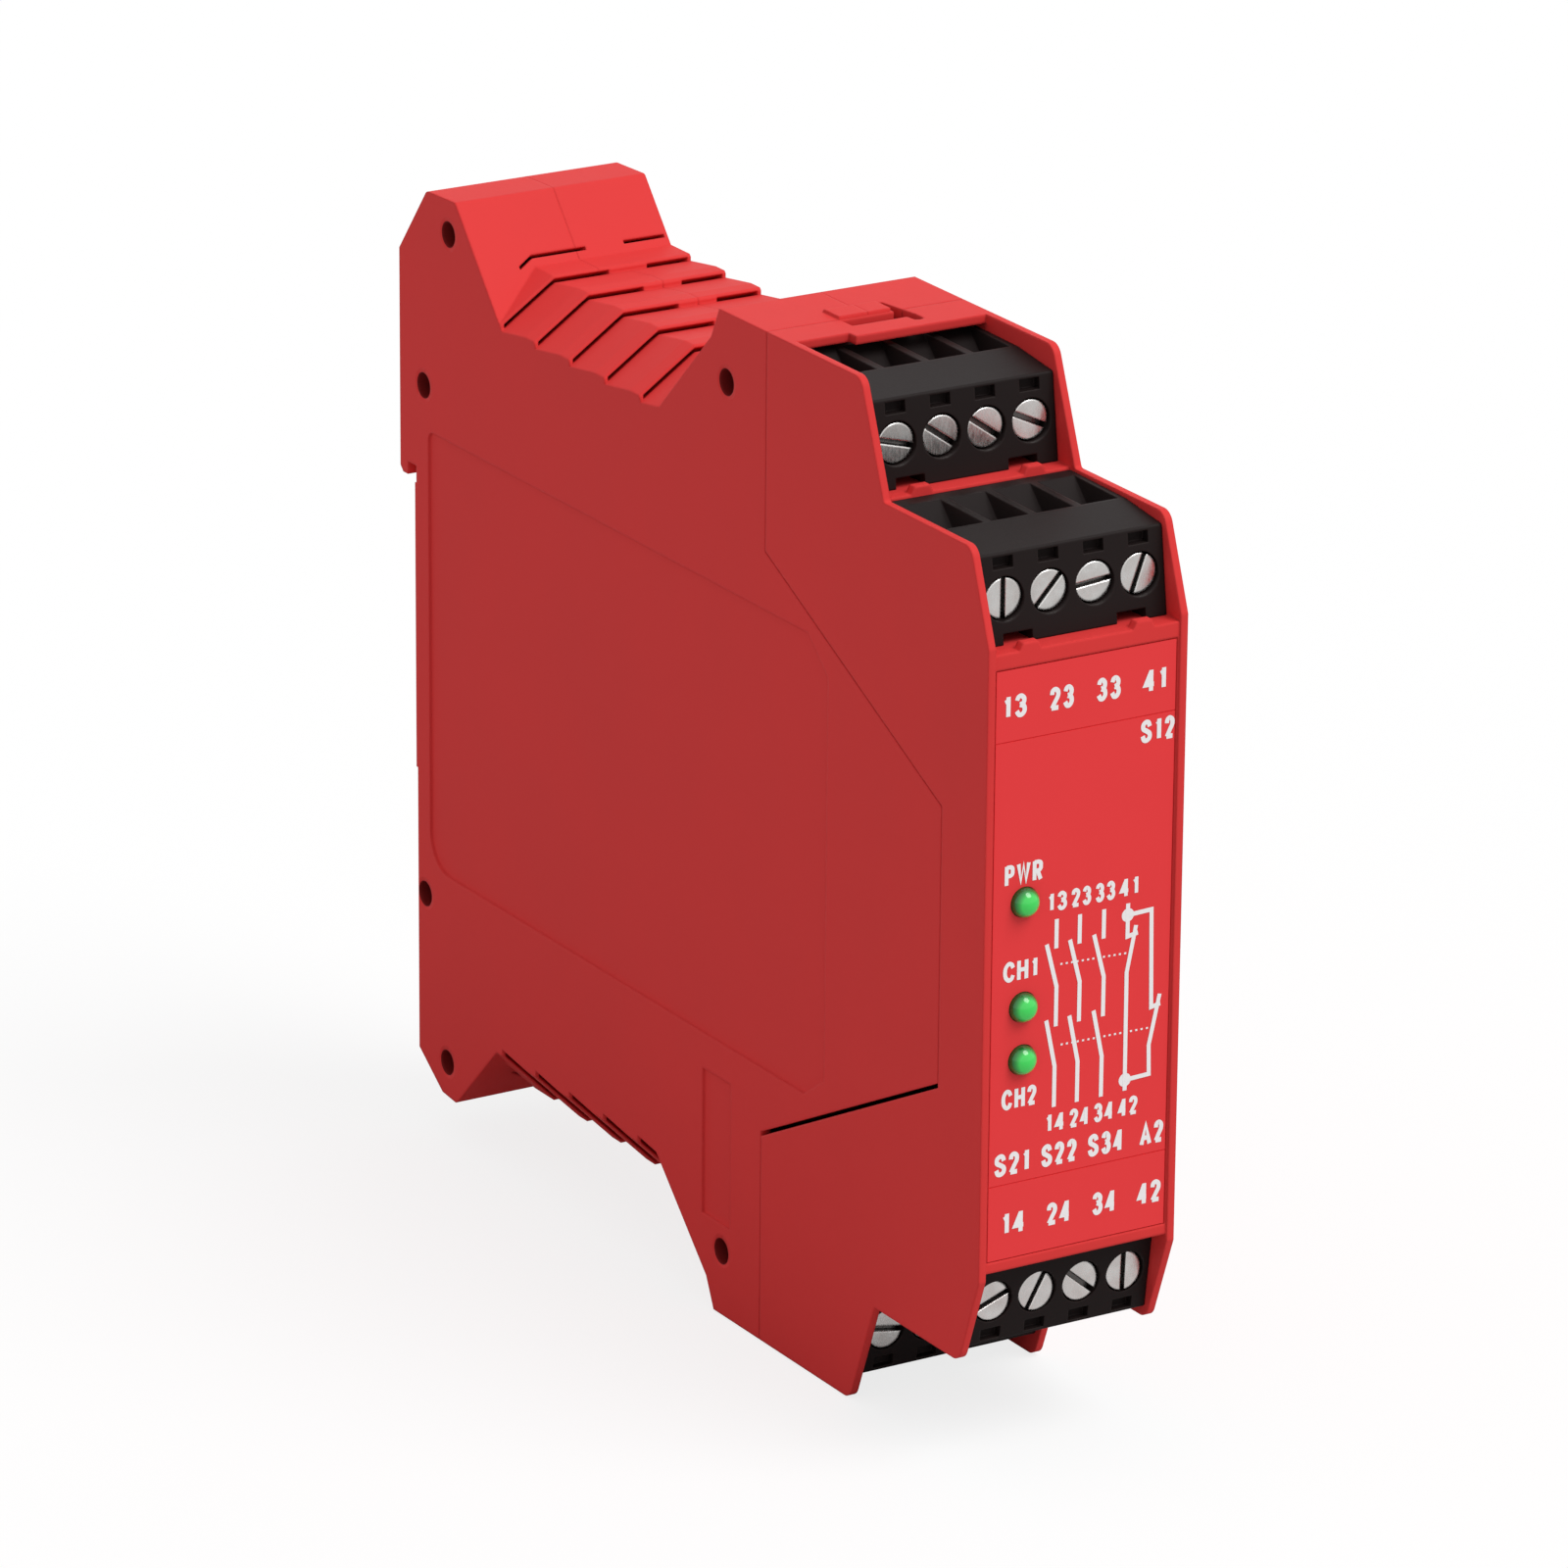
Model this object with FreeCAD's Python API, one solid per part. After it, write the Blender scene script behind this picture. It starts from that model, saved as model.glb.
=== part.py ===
import FreeCAD, Part
import math
import os

# Safety relay module for a 35 mm top-hat rail, in millimetres.
# The origin is the middle of the rail seat: +Z is up, +Y points back to the rail, and the front faces -Y.
# Inside this file a point is (x, depth, height): depth runs forward from the rail seat, and height is
# measured from the housing's own mid-plane, which lies a little below the middle of the rail.

# ---------------------------------------------------------------- driving dimensions
module_width = 22.5          # across the module, along X
mid_plane_drop = 2.4         # housing mid-plane below the middle of the rail
front_depth = 111.2          # rail seat to the front panel
panel_height = 31.5          # mid-plane to the end of the front panel
base_wall = 1.2              # walls of the two base shells
hood_wall = 0.8              # side walls of the front hood
hood_plate = 0.9             # plates and partitions of the hood
panel_plate = 1.4            # thickness of the front panel
seam_gap = 0.1               # gap along the seam between base and hood
slit_gap = 0.4               # wider slit of the lower sloping seam

rail_height = 35.0           # standard rail, edge to edge
rail_play = 0.1              # play over the rail's edges
seat_margin = 1.8            # the seat ends this far inside the rail's edges
seat_relief = 0.3            # the rear face lies this far in front of the seat beyond it
hook_slot = 1.5              # room for the rail's lip behind the seat
hook_wall = 1.6              # thickness of the hook's tooth
hook_drop = 1.4              # how far the tooth reaches over the rail's edge
hook_chamfer = 0.6           # lead-in at the tooth's rear edge

tip_setback = (1.5, 1.0)     # side wall's upper tips behind the blocks' feet, rear tier and front tier
slope_foot = 2.9             # foot of the rear tier's slope in front of the rear block's foot
wall_proud = (0.2, 0.7)      # side wall beyond the panel's end: forward and up
corner_round = 1.5           # rounded tips of the side walls
corner_ease = 0.4            # smaller rounding in their inner corners
tower_margin = 1.55          # tower's top above the rear block
tower_crown = 9.0            # level top of the tower behind the seam
tower_slope = ((12.1, 13.7), (1.5, 3.2))  # corners of its rear slope: back from the crown and down
hump_shoulder = ((2.8, 2.6), (8.8, 2.4))  # corners of the upper hump: depth, and down from the tower's top
hump_foot = 18.5             # depth where the upper hump meets the valley
lower_hump = ((17.7, 13.7), (8.3, 4.3), (5.3, 4.6), (0.3, 8.1))  # lower hump's corners, in the same way

seam_setback = 0.6           # vertical seam behind the rear bay's partition
seam_turn_drop = 1.0         # the seam turns to a slope this far below the panel's end
nose_setback = 7.7           # front end of the base's nose behind the panel
nose_height = 14.2           # half height of the nose there
part_line = 0.3              # X of the parting plane between the base shells
part_line_vent = 3.8         # X of the same plane in the vent valley

side_recess = 0.25           # depth of the flat panel sunk into each side
recess_rear = 2.9            # its rear edge
recess_drop = (6.0, 9.5)     # its edges and its front corners inside the seam's turn
recess_nose = (8.1, 11.9)    # its front corners in front of the seam
# type-plate recess: from and to behind the seam, then from and to above the lower tower
plate_box = (11.4, 5.9, 25.5, 9.8)
catch_hole = 1.35            # radius of the holes that show the right shell's pins
catch_boss = 2.3             # half width of the eight-sided tubes around those holes
catch_play = 0.08            # radial play of a pin in its tube
catch_depth = 9.0            # how deep a pin's end lies below the left face
blind_depth = 2.6            # depth of the two holes beside the foot
latch_setback = 7.5          # catches of the tower behind the seam
roof_edge = (4.3, 5.5, -4.5)  # hood roof in front of the seam: left and right of its step, and the step's X

vent_pitch = 7.02            # spacing of the louvres
vent_lead = 7.3              # first slit behind the hump's foot
vent_rise = (5.0, 7.0)       # crest of the louvres beyond the valley's edge, above and below
vent_drop = 0.7              # step at a louvre's lip
vent_flat = 2.0              # level part of a louvre behind its lip
vent_slit = 0.45             # height of a slit
vent_lean = 30.0             # slope of a slit in degrees
vent_reach = (0.5, 4.0, 3.6)  # slit ahead of its lip, the first one ahead of it, and behind it
vent_ridge = 6.35            # the louvres turn down this far from the left face
vent_fall = (4.3, 6.3)       # how far they fall from the ridge to the left face, above and below
vent_web = 0.4               # closed web between a slit's end and the side face
vent_ease = 0.25             # eased lips
vent_stub = 1.8              # short fall of the first slit
vent_band = (2.3, 2.2)       # closed strip left and right of the parting plane
vent_roof = 1.5              # thickness under a louvre's lowest line

pole_pitch = 5.08            # spacing of the terminals
block_play = 0.1             # gap between a block and each hood wall, floor and back
block_length = 17.3          # a block, front foot to rear
block_top = 9.6              # block's height where the sloping band meets the funnels
block_rise = 0.15            # further rise to the rear
block_brow = (1.2, 0.8)      # top of the front face: back from its foot, and down from the block's top
block_band = 7.5             # back from the foot to the rear edge of the band
block_setback = 2.2          # front block's foot behind the panel
tier_play = 0.3              # rear tier's floor above the top of the front block
bay_setback = 1.2            # rear block's foot in front of the front bay's partition

screw_height = 4.35          # screw axis above a block's underside
screw_head = 2.0             # radius of the screw head
screw_head_length = 2.05
screw_shank = 1.1            # radius of the threaded shank
screw_length = 4.9           # shank below the head
screw_sunk = 0.95            # head's face behind the block's front foot
screw_slot = (0.55, 0.8)     # slot's width and depth
head_play = 0.2              # gap around the head
seat_play = 0.05             # gap under the head
shank_play = 0.06            # radial running fit of the shank
slot_angles = ((-15, -35, -35, -25), (90, 47, 5, 70), (88, -40, 60, 20), (-30, 15, 70, -10))

cage_width = 3.7
cage_height = 4.2
cage_length = 5.2
cage_wall = 0.7
cage_front_wall = 1.05       # thicker wall that carries the thread
cage_travel = 2.2            # how far the cage rises towards the screw's head
cage_seat = 11.7             # cage's rear end behind the block's foot, wide open
chamber_play = 0.15          # gap around a cage
chamber_ends = (0.7, 0.1)    # gap behind a cage, and in front of it at the end of its travel

funnel_mouth = 4.3           # wire funnel at the top, across
funnel_brow = 0.35           # in front of the funnel, up to the band
funnel_back = 1.55           # behind the funnel, up to the block's rear
funnel_throat = (2.6, 3.0)   # narrow end: across and along
funnel_depth = 3.2
probe_slot = (2.3, 1.2, 0.8, 0.95)  # small slot over each screw: across, up, deep, and down from the brow
tab_width = 2.7              # catch on the ledge in front of a block
tab_height = 0.75
tab_depth = 1.0
tab_bevel = 0.5
tab_play = 0.3               # room around a catch in an upper block's underside
tab_reach = 6.4              # the two catches' middles from the middle of the width

pin_side = 1.0               # square contact pins
pin_play = 0.25              # gap around a pin in its socket
pin_gap = 0.6                # between a pin's tip and the clamp's chamber
header_depth = 2.1           # thickness of a pin header
header_height = 4.0
header_play = 0.05           # gap between a header and the bay's partition

board_thickness = 1.6
board_inset = 1.05           # board's back from the right face's inside
board_rear = 9.0             # board's rear edge
board_drop = (3.0, 3.7, 4.0)  # board's edges below the panel's end and the ledges, the valley and the tower
board_hole = (1.6, 30.0, 8.2)  # fixing hole: radius, depth, and down from the valley
relay_size = (40.0, 13.0)    # along and up
relay_gap = 2.45             # between the relays and the left wall
relay_depth = 14.0           # rear end of both relays
relay_height = 13.0          # height of each relay's middle above and below the mid-plane
relay_round = 0.6
capacitor_radius = 5.0
capacitor_setback = 31.2     # its axis behind the panel

led_radius = 1.5
led_inset = 4.65             # lenses' middle in from the left face
led_heights = {"led_power": 6.1, "led_channel_1": -4.6, "led_channel_2": -10.0}
led_rod = 0.2                # straight part of a lens in front of the panel
led_dome = 1.12              # height of its dome
led_flange = (0.5, 1.0)      # flange behind the panel: radial reach and thickness
led_play = 0.06
label_margin = 1.1           # side of the module to the label
label_ends = (1.7, 1.2)      # label inside the panel's upper and lower end
label_sunk = 0.3             # recess for the label
label_thickness = 0.25
label_play = 0.12
label_line = (22.6, 0.12, 0.1)  # fine lines that part off the outer number rows: height, width and depth

foot_half = 6.85             # half width of the foot's flanges
foot_neck = 5.35             # half width of its neck and tooth
foot_front = 5.05            # depth of its front face
foot_rear = 1.85             # depth of the flanges' rear face
foot_play = 0.15
foot_edge = 0.3              # foot's lower end inside the housing's outline
foot_tooth = (1.4, 0.5)      # tooth: reach over the rail's lower edge, and thickness of its tip
foot_back = (1.2, 3.6, 6.0)  # tooth's slopes and its root below the foot's top
foot_window = (2.0, 12.4)    # spring's window: half width, and its top below the foot's top
driver_slot = (2.4, 1.4, 8.7)  # screwdriver slot: half width, height, and up from the lower hump
spring_length = 10.25        # spring at rest in the window
spring_radius = 1.3
spring_wire = 0.22           # radius of the wire
spring_turns = 6
spring_sides = 10            # straight steps in one turn of the coil
spring_ledge_height = 1.6    # thickness of the shell's ledge under the spring

# ---------------------------------------------------------------- values that follow
half_width = module_width / 2
inner_half = half_width - hood_wall
block_half = inner_half - block_play
block_height = block_top + block_rise
block_floor = block_play / 2
tier_step = (block_length + block_play + hood_plate + bay_setback, block_height + tier_play)
ledge_height = panel_height + tier_step[1]
tower_height = ledge_height + block_floor + block_height + tower_margin
front_block_foot = front_depth - block_setback
rear_block_foot = front_block_foot - tier_step[0]
seam_depth = rear_block_foot - block_length - block_play - hood_plate - seam_setback
seam_turn = panel_height - seam_turn_drop
nose_depth = front_depth - nose_setback
crown_depth = seam_depth - tower_crown
valley_front = crown_depth - tower_slope[0][0]
valley_height = tower_height - tower_slope[0][1]
rail_top = rail_height / 2 + mid_plane_drop
rail_bottom = -rail_height / 2 + mid_plane_drop
hook_rear = -(hook_slot + hook_wall)
vent_first = hump_foot - vent_lead
vent_count = 1 + int((valley_front - vent_first) / vent_pitch)
ridge_x = vent_ridge - half_width
pole_count = int(2 * block_half / pole_pitch)
poles = [(index - (pole_count - 1) / 2) * pole_pitch for index in range(pole_count)]
tabs = (-tab_reach, tab_reach)
chamber_rear = cage_seat + chamber_ends[0]
chamber_front = cage_seat - cage_length - cage_travel - chamber_ends[1]
mouth_length = block_length - block_band - funnel_brow - funnel_back
board_x = half_width - base_wall - board_inset
part_height = board_x - board_thickness + half_width - base_wall - relay_gap
led_x = led_inset - half_width
label_half = half_width - label_margin
label_top = panel_height - label_ends[0]
label_bottom = label_ends[1] - panel_height
foot_top = rail_bottom - rail_play
window_top = foot_top - foot_window[1]
ledge_top = window_top - spring_length
window_bottom = ledge_top - spring_ledge_height - foot_play
far = 200.0                  # beyond every part of the module


# ---------------------------------------------------------------- shapes
def place(x, depth, height):
    return FreeCAD.Vector(x, -depth, height - mid_plane_drop)


def outline_face(corners, to_space):
    """Face through the corners (a, b) or (a, b, radius), each mapped into space by to_space."""
    edges = []
    stops = []
    for index, corner in enumerate(corners):
        here = FreeCAD.Vector(corner[0], corner[1], 0)
        if len(corner) == 2:
            stops.append((here, None, here))
            continue
        before = FreeCAD.Vector(*corners[index - 1][:2], 0)
        after = FreeCAD.Vector(*corners[(index + 1) % len(corners)][:2], 0)
        to_before = (before - here).normalize()
        to_after = (after - here).normalize()
        half = to_before.getAngle(to_after) / 2
        reach = corner[2] / math.tan(half)
        inward = (to_before + to_after).normalize()
        middle = here + inward * (corner[2] / math.sin(half) - corner[2])
        stops.append((here + to_before * reach, middle, here + to_after * reach))
    for index, (entry, middle, leave) in enumerate(stops):
        if middle is not None:
            ends = [to_space(point.x, point.y) for point in (entry, middle, leave)]
            edges.append(Part.Arc(*ends).toShape())
        following = stops[(index + 1) % len(stops)][0]
        run = Part.LineSegment(to_space(leave.x, leave.y), to_space(following.x, following.y))
        edges.append(run.toShape())
    return Part.Face(Part.Wire(edges))


def side_face(corners, x):
    return outline_face(corners, lambda depth, height: place(x, depth, height))


def prism(corners, x_low, x_high):
    """Side outline (depth, height) carried straight across the module."""
    return side_face(corners, x_low).extrude(FreeCAD.Vector(x_high - x_low, 0, 0))


def slanted_prism(corners, x_from, across, rise):
    """Side outline carried across the module while it rises or falls."""
    return side_face(corners, x_from).extrude(FreeCAD.Vector(across, 0, rise))


def plan_prism(corners, height_low, height_high):
    """Outline in plan (x, depth) carried upwards."""
    face = outline_face(corners, lambda x, depth: place(x, depth, height_low))
    return face.extrude(FreeCAD.Vector(0, 0, height_high - height_low))


def front_prism(corners, depth_low, depth_high):
    """Outline seen from the front (x, height) carried forward."""
    face = outline_face(corners, lambda x, height: place(x, depth_low, height))
    return face.extrude(FreeCAD.Vector(0, depth_low - depth_high, 0))


def box(x, depth, height):
    """Box between the low and high values of x, depth and height."""
    corner = place(x[0], depth[1], height[0])
    return Part.makeBox(x[1] - x[0], depth[1] - depth[0], height[1] - height[0], corner)


def rod_across(depth, height, radius, x_low, x_high):
    return Part.makeCylinder(radius, x_high - x_low, place(x_low, depth, height), FreeCAD.Vector(1, 0, 0))


def rod_forward(x, height, radius, depth_low, depth_high):
    start = place(x, depth_low, height)
    return Part.makeCylinder(radius, depth_high - depth_low, start, FreeCAD.Vector(0, -1, 0))


def octagon(middle, flat):
    """Corners of an eight-sided ring whose flats touch a circle of radius flat."""
    reach = flat / math.cos(math.pi / 8)
    turns = [math.pi * (step + 0.5) / 4 for step in range(8)]
    return [(middle[0] + reach * math.cos(turn), middle[1] + reach * math.sin(turn)) for turn in turns]


def funnel(x, mouth, throat):
    """Tapered well from its mouth down to its throat, each given as (depth, height, across, along)."""
    rings = []
    for depth, level, across, along in (mouth, throat):
        half_x = across / 2
        half_d = along / 2
        ring = [(-half_x, -half_d), (half_x, -half_d), (half_x, half_d), (-half_x, half_d)]
        rings.append([place(x + a, depth + b, level) for a, b in ring])
    upper, lower = rings
    loops = [upper, lower]
    for index in range(4):
        following = (index + 1) % 4
        loops.append([upper[index], upper[following], lower[following], lower[index]])
    well = Part.Solid(Part.Shell([Part.Face(Part.makePolygon(loop + loop[:1])) for loop in loops]))
    if well.Volume < 0:
        well.reverse()
    return well


def merged(shapes):
    """One solid from shapes that share material."""
    whole = shapes[0]
    if len(shapes) > 1:
        whole = whole.fuse(shapes[1:])
    return whole.removeSplitter()


def mirrored_corners(corners):
    """The same side outline below the mid-plane, in the order that continues it."""
    return [(corner[0], -corner[1]) + tuple(corner[2:]) for corner in reversed(corners)]


def turned_over(shape):
    """The piece turned half a turn about the module's depth axis, for the lower terminals."""
    copy = shape.copy()
    copy.rotate(place(0, 0, 0), FreeCAD.Vector(0, 1, 0), 180)
    return copy


# ---------------------------------------------------------------- side outline of the whole module
def front_corners():
    """Upper half of the outline, from the valley's front end to the panel."""
    slope = [(crown_depth - back, tower_height - down) for back, down in tower_slope]
    return slope + [
        (crown_depth, tower_height),
        (rear_block_foot - tip_setback[0], tower_height, corner_round),
        (rear_block_foot + slope_foot, ledge_height, corner_ease),
        (front_block_foot - tip_setback[1], ledge_height, corner_round),
        (front_depth + wall_proud[0], panel_height + wall_proud[1]),
    ]


def hump_corners():
    """Hook and upper hump, from the rail seat to the valley's rear end."""
    tooth = rail_top + rail_play - hook_drop
    shoulder = [(depth, tower_height - down) for depth, down in hump_shoulder]
    return [
        (0.0, rail_top - seat_margin),
        (seat_relief, rail_top - seat_margin),
        (seat_relief, rail_top + rail_play),
        (-hook_slot, rail_top + rail_play),
        (-hook_slot, tooth),
        (hook_rear + hook_chamfer, tooth),
        (hook_rear, tooth + hook_chamfer),
        (hook_rear, tower_height - 10.1),
        shoulder[0] + (0.8,),
        shoulder[1] + (0.6,),
        (hump_foot, valley_height),
    ]


def lower_hump_corners():
    """Lower hump, from the valley's rear end to the rail seat."""
    corners = [(depth, down - tower_height) for depth, down in lower_hump]
    return [
        corners[0],
        corners[1] + (0.6,),
        corners[2] + (0.6,),
        (seat_relief, lower_hump[3][1] - tower_height),
        (seat_relief, rail_bottom + seat_margin),
        (0.0, rail_bottom + seat_margin),
    ]


def module_outline():
    upper = hump_corners() + front_corners()
    lower = mirrored_corners(front_corners()) + lower_hump_corners()
    return upper + lower


def base_region(gap, lower_gap):
    """Side outline that holds the base and leaves the hood; the gaps draw it back from the seam."""
    slope = math.atan2(seam_turn - nose_height, nose_depth - seam_depth)
    shift = gap / math.cos(slope)
    lower_shift = lower_gap / math.cos(slope)
    seam = seam_depth - gap
    nose = nose_depth - gap
    return [
        (-far, far),
        (seam, far),
        (seam, seam_turn - shift),
        (nose, nose_height - shift),
        (nose, -nose_height + lower_shift),
        (seam, -seam_turn + lower_shift),
        (seam, -far),
        (-far, -far),
    ]


# ---------------------------------------------------------------- base shells
def louvre_corners(floor_height, crest):
    """Sawtooth of the louvres, closed below at floor_height."""
    rear = vent_first + vent_pitch * 0.4
    corners = [(rear, floor_height), (rear, crest)]
    for index in range(1, vent_count):
        lip = vent_first + index * vent_pitch
        corners.append((lip - vent_ease, crest))
        corners.append((lip, crest - vent_ease))
        corners.append((lip, crest - vent_drop))
        corners.append((lip + vent_pitch - vent_flat, crest))
    corners.append((lip + vent_pitch, crest))
    corners.append((lip + vent_pitch, floor_height))
    return corners


def slit_corners(index, crest):
    """Leaning slot under the lip of one louvre."""
    lip = vent_first + index * vent_pitch
    low = crest - vent_drop + 0.02
    rise = math.tan(math.radians(vent_lean))
    ahead = vent_reach[0] if index else vent_reach[1]
    behind = vent_reach[2]
    return [
        (lip + ahead, low + ahead * rise),
        (lip + ahead, low + ahead * rise + vent_slit),
        (lip - behind, low - behind * rise + vent_slit),
        (lip - behind, low - behind * rise),
    ]


def louvre_body(crest, fall):
    """Louvres of one end: level to the right of the ridge, falling to the left of it."""
    corners = louvre_corners(valley_height - base_wall - 1.0, crest)
    level = prism(corners, ridge_x, half_width)
    falling = slanted_prism(corners, ridge_x, -vent_ridge, -fall)
    return merged([level, falling])


def louvre_hollow(crest, fall):
    """Room under the louvres, the same form drawn in by the roof's thickness."""
    top = crest - vent_drop - vent_roof
    floor_height = valley_height - base_wall - 8.0
    rear = hump_foot + 0.1
    front = valley_front - 0.5
    corners = [(rear, floor_height), (rear, top), (front, top), (front, floor_height)]
    width = vent_ridge - base_wall
    level = prism(corners, ridge_x, half_width - base_wall)
    falling = slanted_prism(corners, ridge_x, -width, -fall * width / vent_ridge)
    return merged([level, falling])


def louvre_slits(crest, fall):
    """Every slit, from the left web over the ridge to the band, and beyond the band to the right web."""
    cuts = []
    for index in range(vent_count):
        corners = slit_corners(index, crest)
        width = vent_ridge - vent_web if index else vent_stub
        cuts.append(prism(corners, ridge_x, part_line_vent - vent_band[0]))
        cuts.append(prism(corners, part_line_vent + vent_band[1], half_width - vent_web))
        cuts.append(slanted_prism(corners, ridge_x, -width, -fall * width / vent_ridge))
    return cuts


def upside_down(shape):
    """Mirror image below the mid-plane."""
    return shape.mirror(place(0, 0, 0), FreeCAD.Vector(0, 0, 1))


def foot_channel(play):
    """Room that the rail foot slides in, open at the rear and below."""
    neck = foot_neck + play
    flange = foot_half + play
    rear = foot_rear - play
    front = foot_front + play
    corners = [(-neck, -1.0), (neck, -1.0), (neck, rear), (flange, rear), (flange, front), (-flange, front),
               (-flange, rear), (-neck, rear)]
    return plan_prism(corners, -far, rail_bottom)


def spring_post():
    """Ledge of the left shell, inside the foot's window."""
    half = foot_window[0] - foot_play
    depth = (foot_rear + foot_play, foot_front + foot_play)
    return box((-half, half), depth, (ledge_top - spring_ledge_height, ledge_top))


def through_holes():
    """Places (depth, height) of the catches that run through the base."""
    return [
        (7.4, tower_height - 6.1),
        (2.0, rail_top + 9.3),
        (seam_depth - latch_setback, tower_height - 7.1),
        (seam_depth - latch_setback, 6.9 - tower_height),
    ]


def blind_holes():
    """Places of the two short catches beside the rail foot."""
    return [(1.8, rail_bottom - 11.9), (6.4, 8.3 - tower_height)]


def base_shells():
    """The two halves of the hollow base, parted on a stepped plane."""
    outline = module_outline()
    outer = prism(outline, -half_width, half_width).common(
        prism(base_region(seam_gap / 2, seam_gap / 2), -half_width, half_width))
    inner_face = side_face(outline, -half_width + base_wall).makeOffset2D(-base_wall, 2)
    hollow = inner_face.extrude(FreeCAD.Vector(module_width - 2 * base_wall, 0, 0))
    above, below = [(valley_height + rise, fall) for rise, fall in zip(vent_rise, vent_fall)]
    hollows = [hollow, louvre_hollow(*above), upside_down(louvre_hollow(*below))]
    foot_box = box((-foot_half - base_wall - 0.3, foot_half + base_wall + 0.3),
                   (-1.0, foot_front + base_wall + foot_play), (-far, rail_bottom + base_wall))
    keep = [foot_box]
    tubes = []
    for depth, height in through_holes():
        keep.append(prism(octagon((depth, height), catch_boss), -half_width, half_width))
    for depth, height in blind_holes():
        boss = octagon((depth, height), catch_boss)
        keep.append(prism(boss, -half_width, -half_width + blind_depth + 0.8))
    room = merged(hollows).cut(keep)
    body = merged([outer, louvre_body(*above), upside_down(louvre_body(*below))]).cut(room)
    cuts = [foot_channel(foot_play)]
    cuts += louvre_slits(*above)
    cuts += [upside_down(slit) for slit in louvre_slits(*below)]
    for depth, height in through_holes():
        tubes.append(rod_across(depth, height, catch_hole, -half_width - 1, part_line + 0.01))
    for depth, height in blind_holes():
        tubes.append(rod_across(depth, height, catch_hole, -half_width - 1, -half_width + blind_depth))
    cuts += tubes
    cuts += side_recesses()
    cuts.append(latch_notch())
    body = body.cut(cuts)
    body = body.fuse(top_latch()).removeSplitter()
    left_side = box((-far, part_line), (-far, far), (-far, far))
    vents = box((-far, part_line_vent), (hump_foot, valley_front), (valley_height - 6.0, far))
    left_side = left_side.fuse([vents, upside_down(vents)])
    left = body.common(left_side).fuse(spring_post()).removeSplitter()
    right = body.cut(left_side)
    pins = []
    for depth, height in through_holes():
        radius = catch_hole - catch_play
        pins.append(rod_across(depth, height, radius, -half_width + catch_depth, part_line + 1.0))
    right = right.fuse(pins).removeSplitter()
    return left, right


def side_recesses():
    """The shallow panel in both sides, and the small type-plate recess in the left one."""
    edge = seam_turn - recess_drop[0]
    corner = seam_turn - recess_drop[1]
    corners = [
        (recess_rear, edge, 1.0),
        (seam_depth + recess_nose[0], edge),
        (seam_depth + recess_nose[1], corner),
        (seam_depth + recess_nose[1], -corner),
        (seam_depth + recess_nose[0], -edge + 0.9),
        (recess_rear, -edge + 0.9, 4.0),
    ]
    left = prism(corners, -half_width - 1, -half_width + side_recess)
    right = prism(corners, half_width - side_recess, half_width + 1)
    plate = box((-half_width - 1, -half_width + side_recess),
                (seam_depth - plate_box[0], seam_depth - plate_box[1]),
                (plate_box[3] - tower_height, plate_box[2] - tower_height))
    return [left, right, plate]


def top_latch():
    """Raised tongue on the tower's top whose front edge looks into the hood's pocket."""
    corners = [
        (seam_depth - 3.4, tower_height - 0.3),
        (seam_depth - 2.9, tower_height + 0.3),
        (seam_depth - 0.1, tower_height + 0.3),
        (seam_depth - 0.1, tower_height - 0.3),
    ]
    return prism(corners, -3.0, 2.9)


def latch_notch():
    """Curved release cut at the right end of the tongue."""
    corners = [
        (2.9, seam_depth - 3.4),
        (3.7, seam_depth - 3.0),
        (4.5, seam_depth + 2.0),
        (4.5, seam_depth + 4.0, 0.5),
        (3.4, seam_depth + 3.6),
        (3.1, seam_depth + 1.5),
    ]
    return plan_prism(corners, tower_height - 1.4, tower_height + 1.0)


# ---------------------------------------------------------------- front hood
def terminal_bays():
    """Solid partitions of one end of the hood, as it stands above the mid-plane."""
    wide = (-half_width + hood_wall / 2, half_width - hood_wall / 2)
    rear_back = rear_block_foot - block_length - block_play
    front_back = front_block_foot - block_length - block_play
    hood_rear = seam_depth + seam_gap / 2
    pieces = [
        box(wide, (hood_rear, seam_depth + roof_edge[0]), (tower_height - hood_plate, tower_height)),
        box((roof_edge[2], wide[1]), (hood_rear, seam_depth + roof_edge[1]),
            (tower_height - hood_plate, tower_height)),
        box(wide, (rear_back - hood_plate, rear_back), (ledge_height - 0.5, tower_height)),
        box(wide, (rear_back - hood_plate, front_back), (ledge_height - 0.5, ledge_height)),
        box(wide, (front_back - hood_plate, front_back), (panel_height - hood_plate, ledge_height)),
        box(wide, (front_back - hood_plate, front_depth), (panel_height - hood_plate, panel_height)),
    ]
    return pieces


def ledge_catches():
    """Two low catches on each upper ledge, in front of the block's foot."""
    pieces = []
    front_back = front_block_foot - block_length - block_play
    for front, floor_height in ((front_back, ledge_height), (front_depth, panel_height)):
        for x in tabs:
            corners = [
                (x - tab_width / 2, floor_height - 0.2),
                (x + tab_width / 2, floor_height - 0.2),
                (x + tab_width / 2 - tab_bevel, floor_height + tab_height),
                (x - tab_width / 2 + tab_bevel, floor_height + tab_height),
            ]
            pieces.append(front_prism(corners, front - tab_depth, front))
    return pieces


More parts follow.
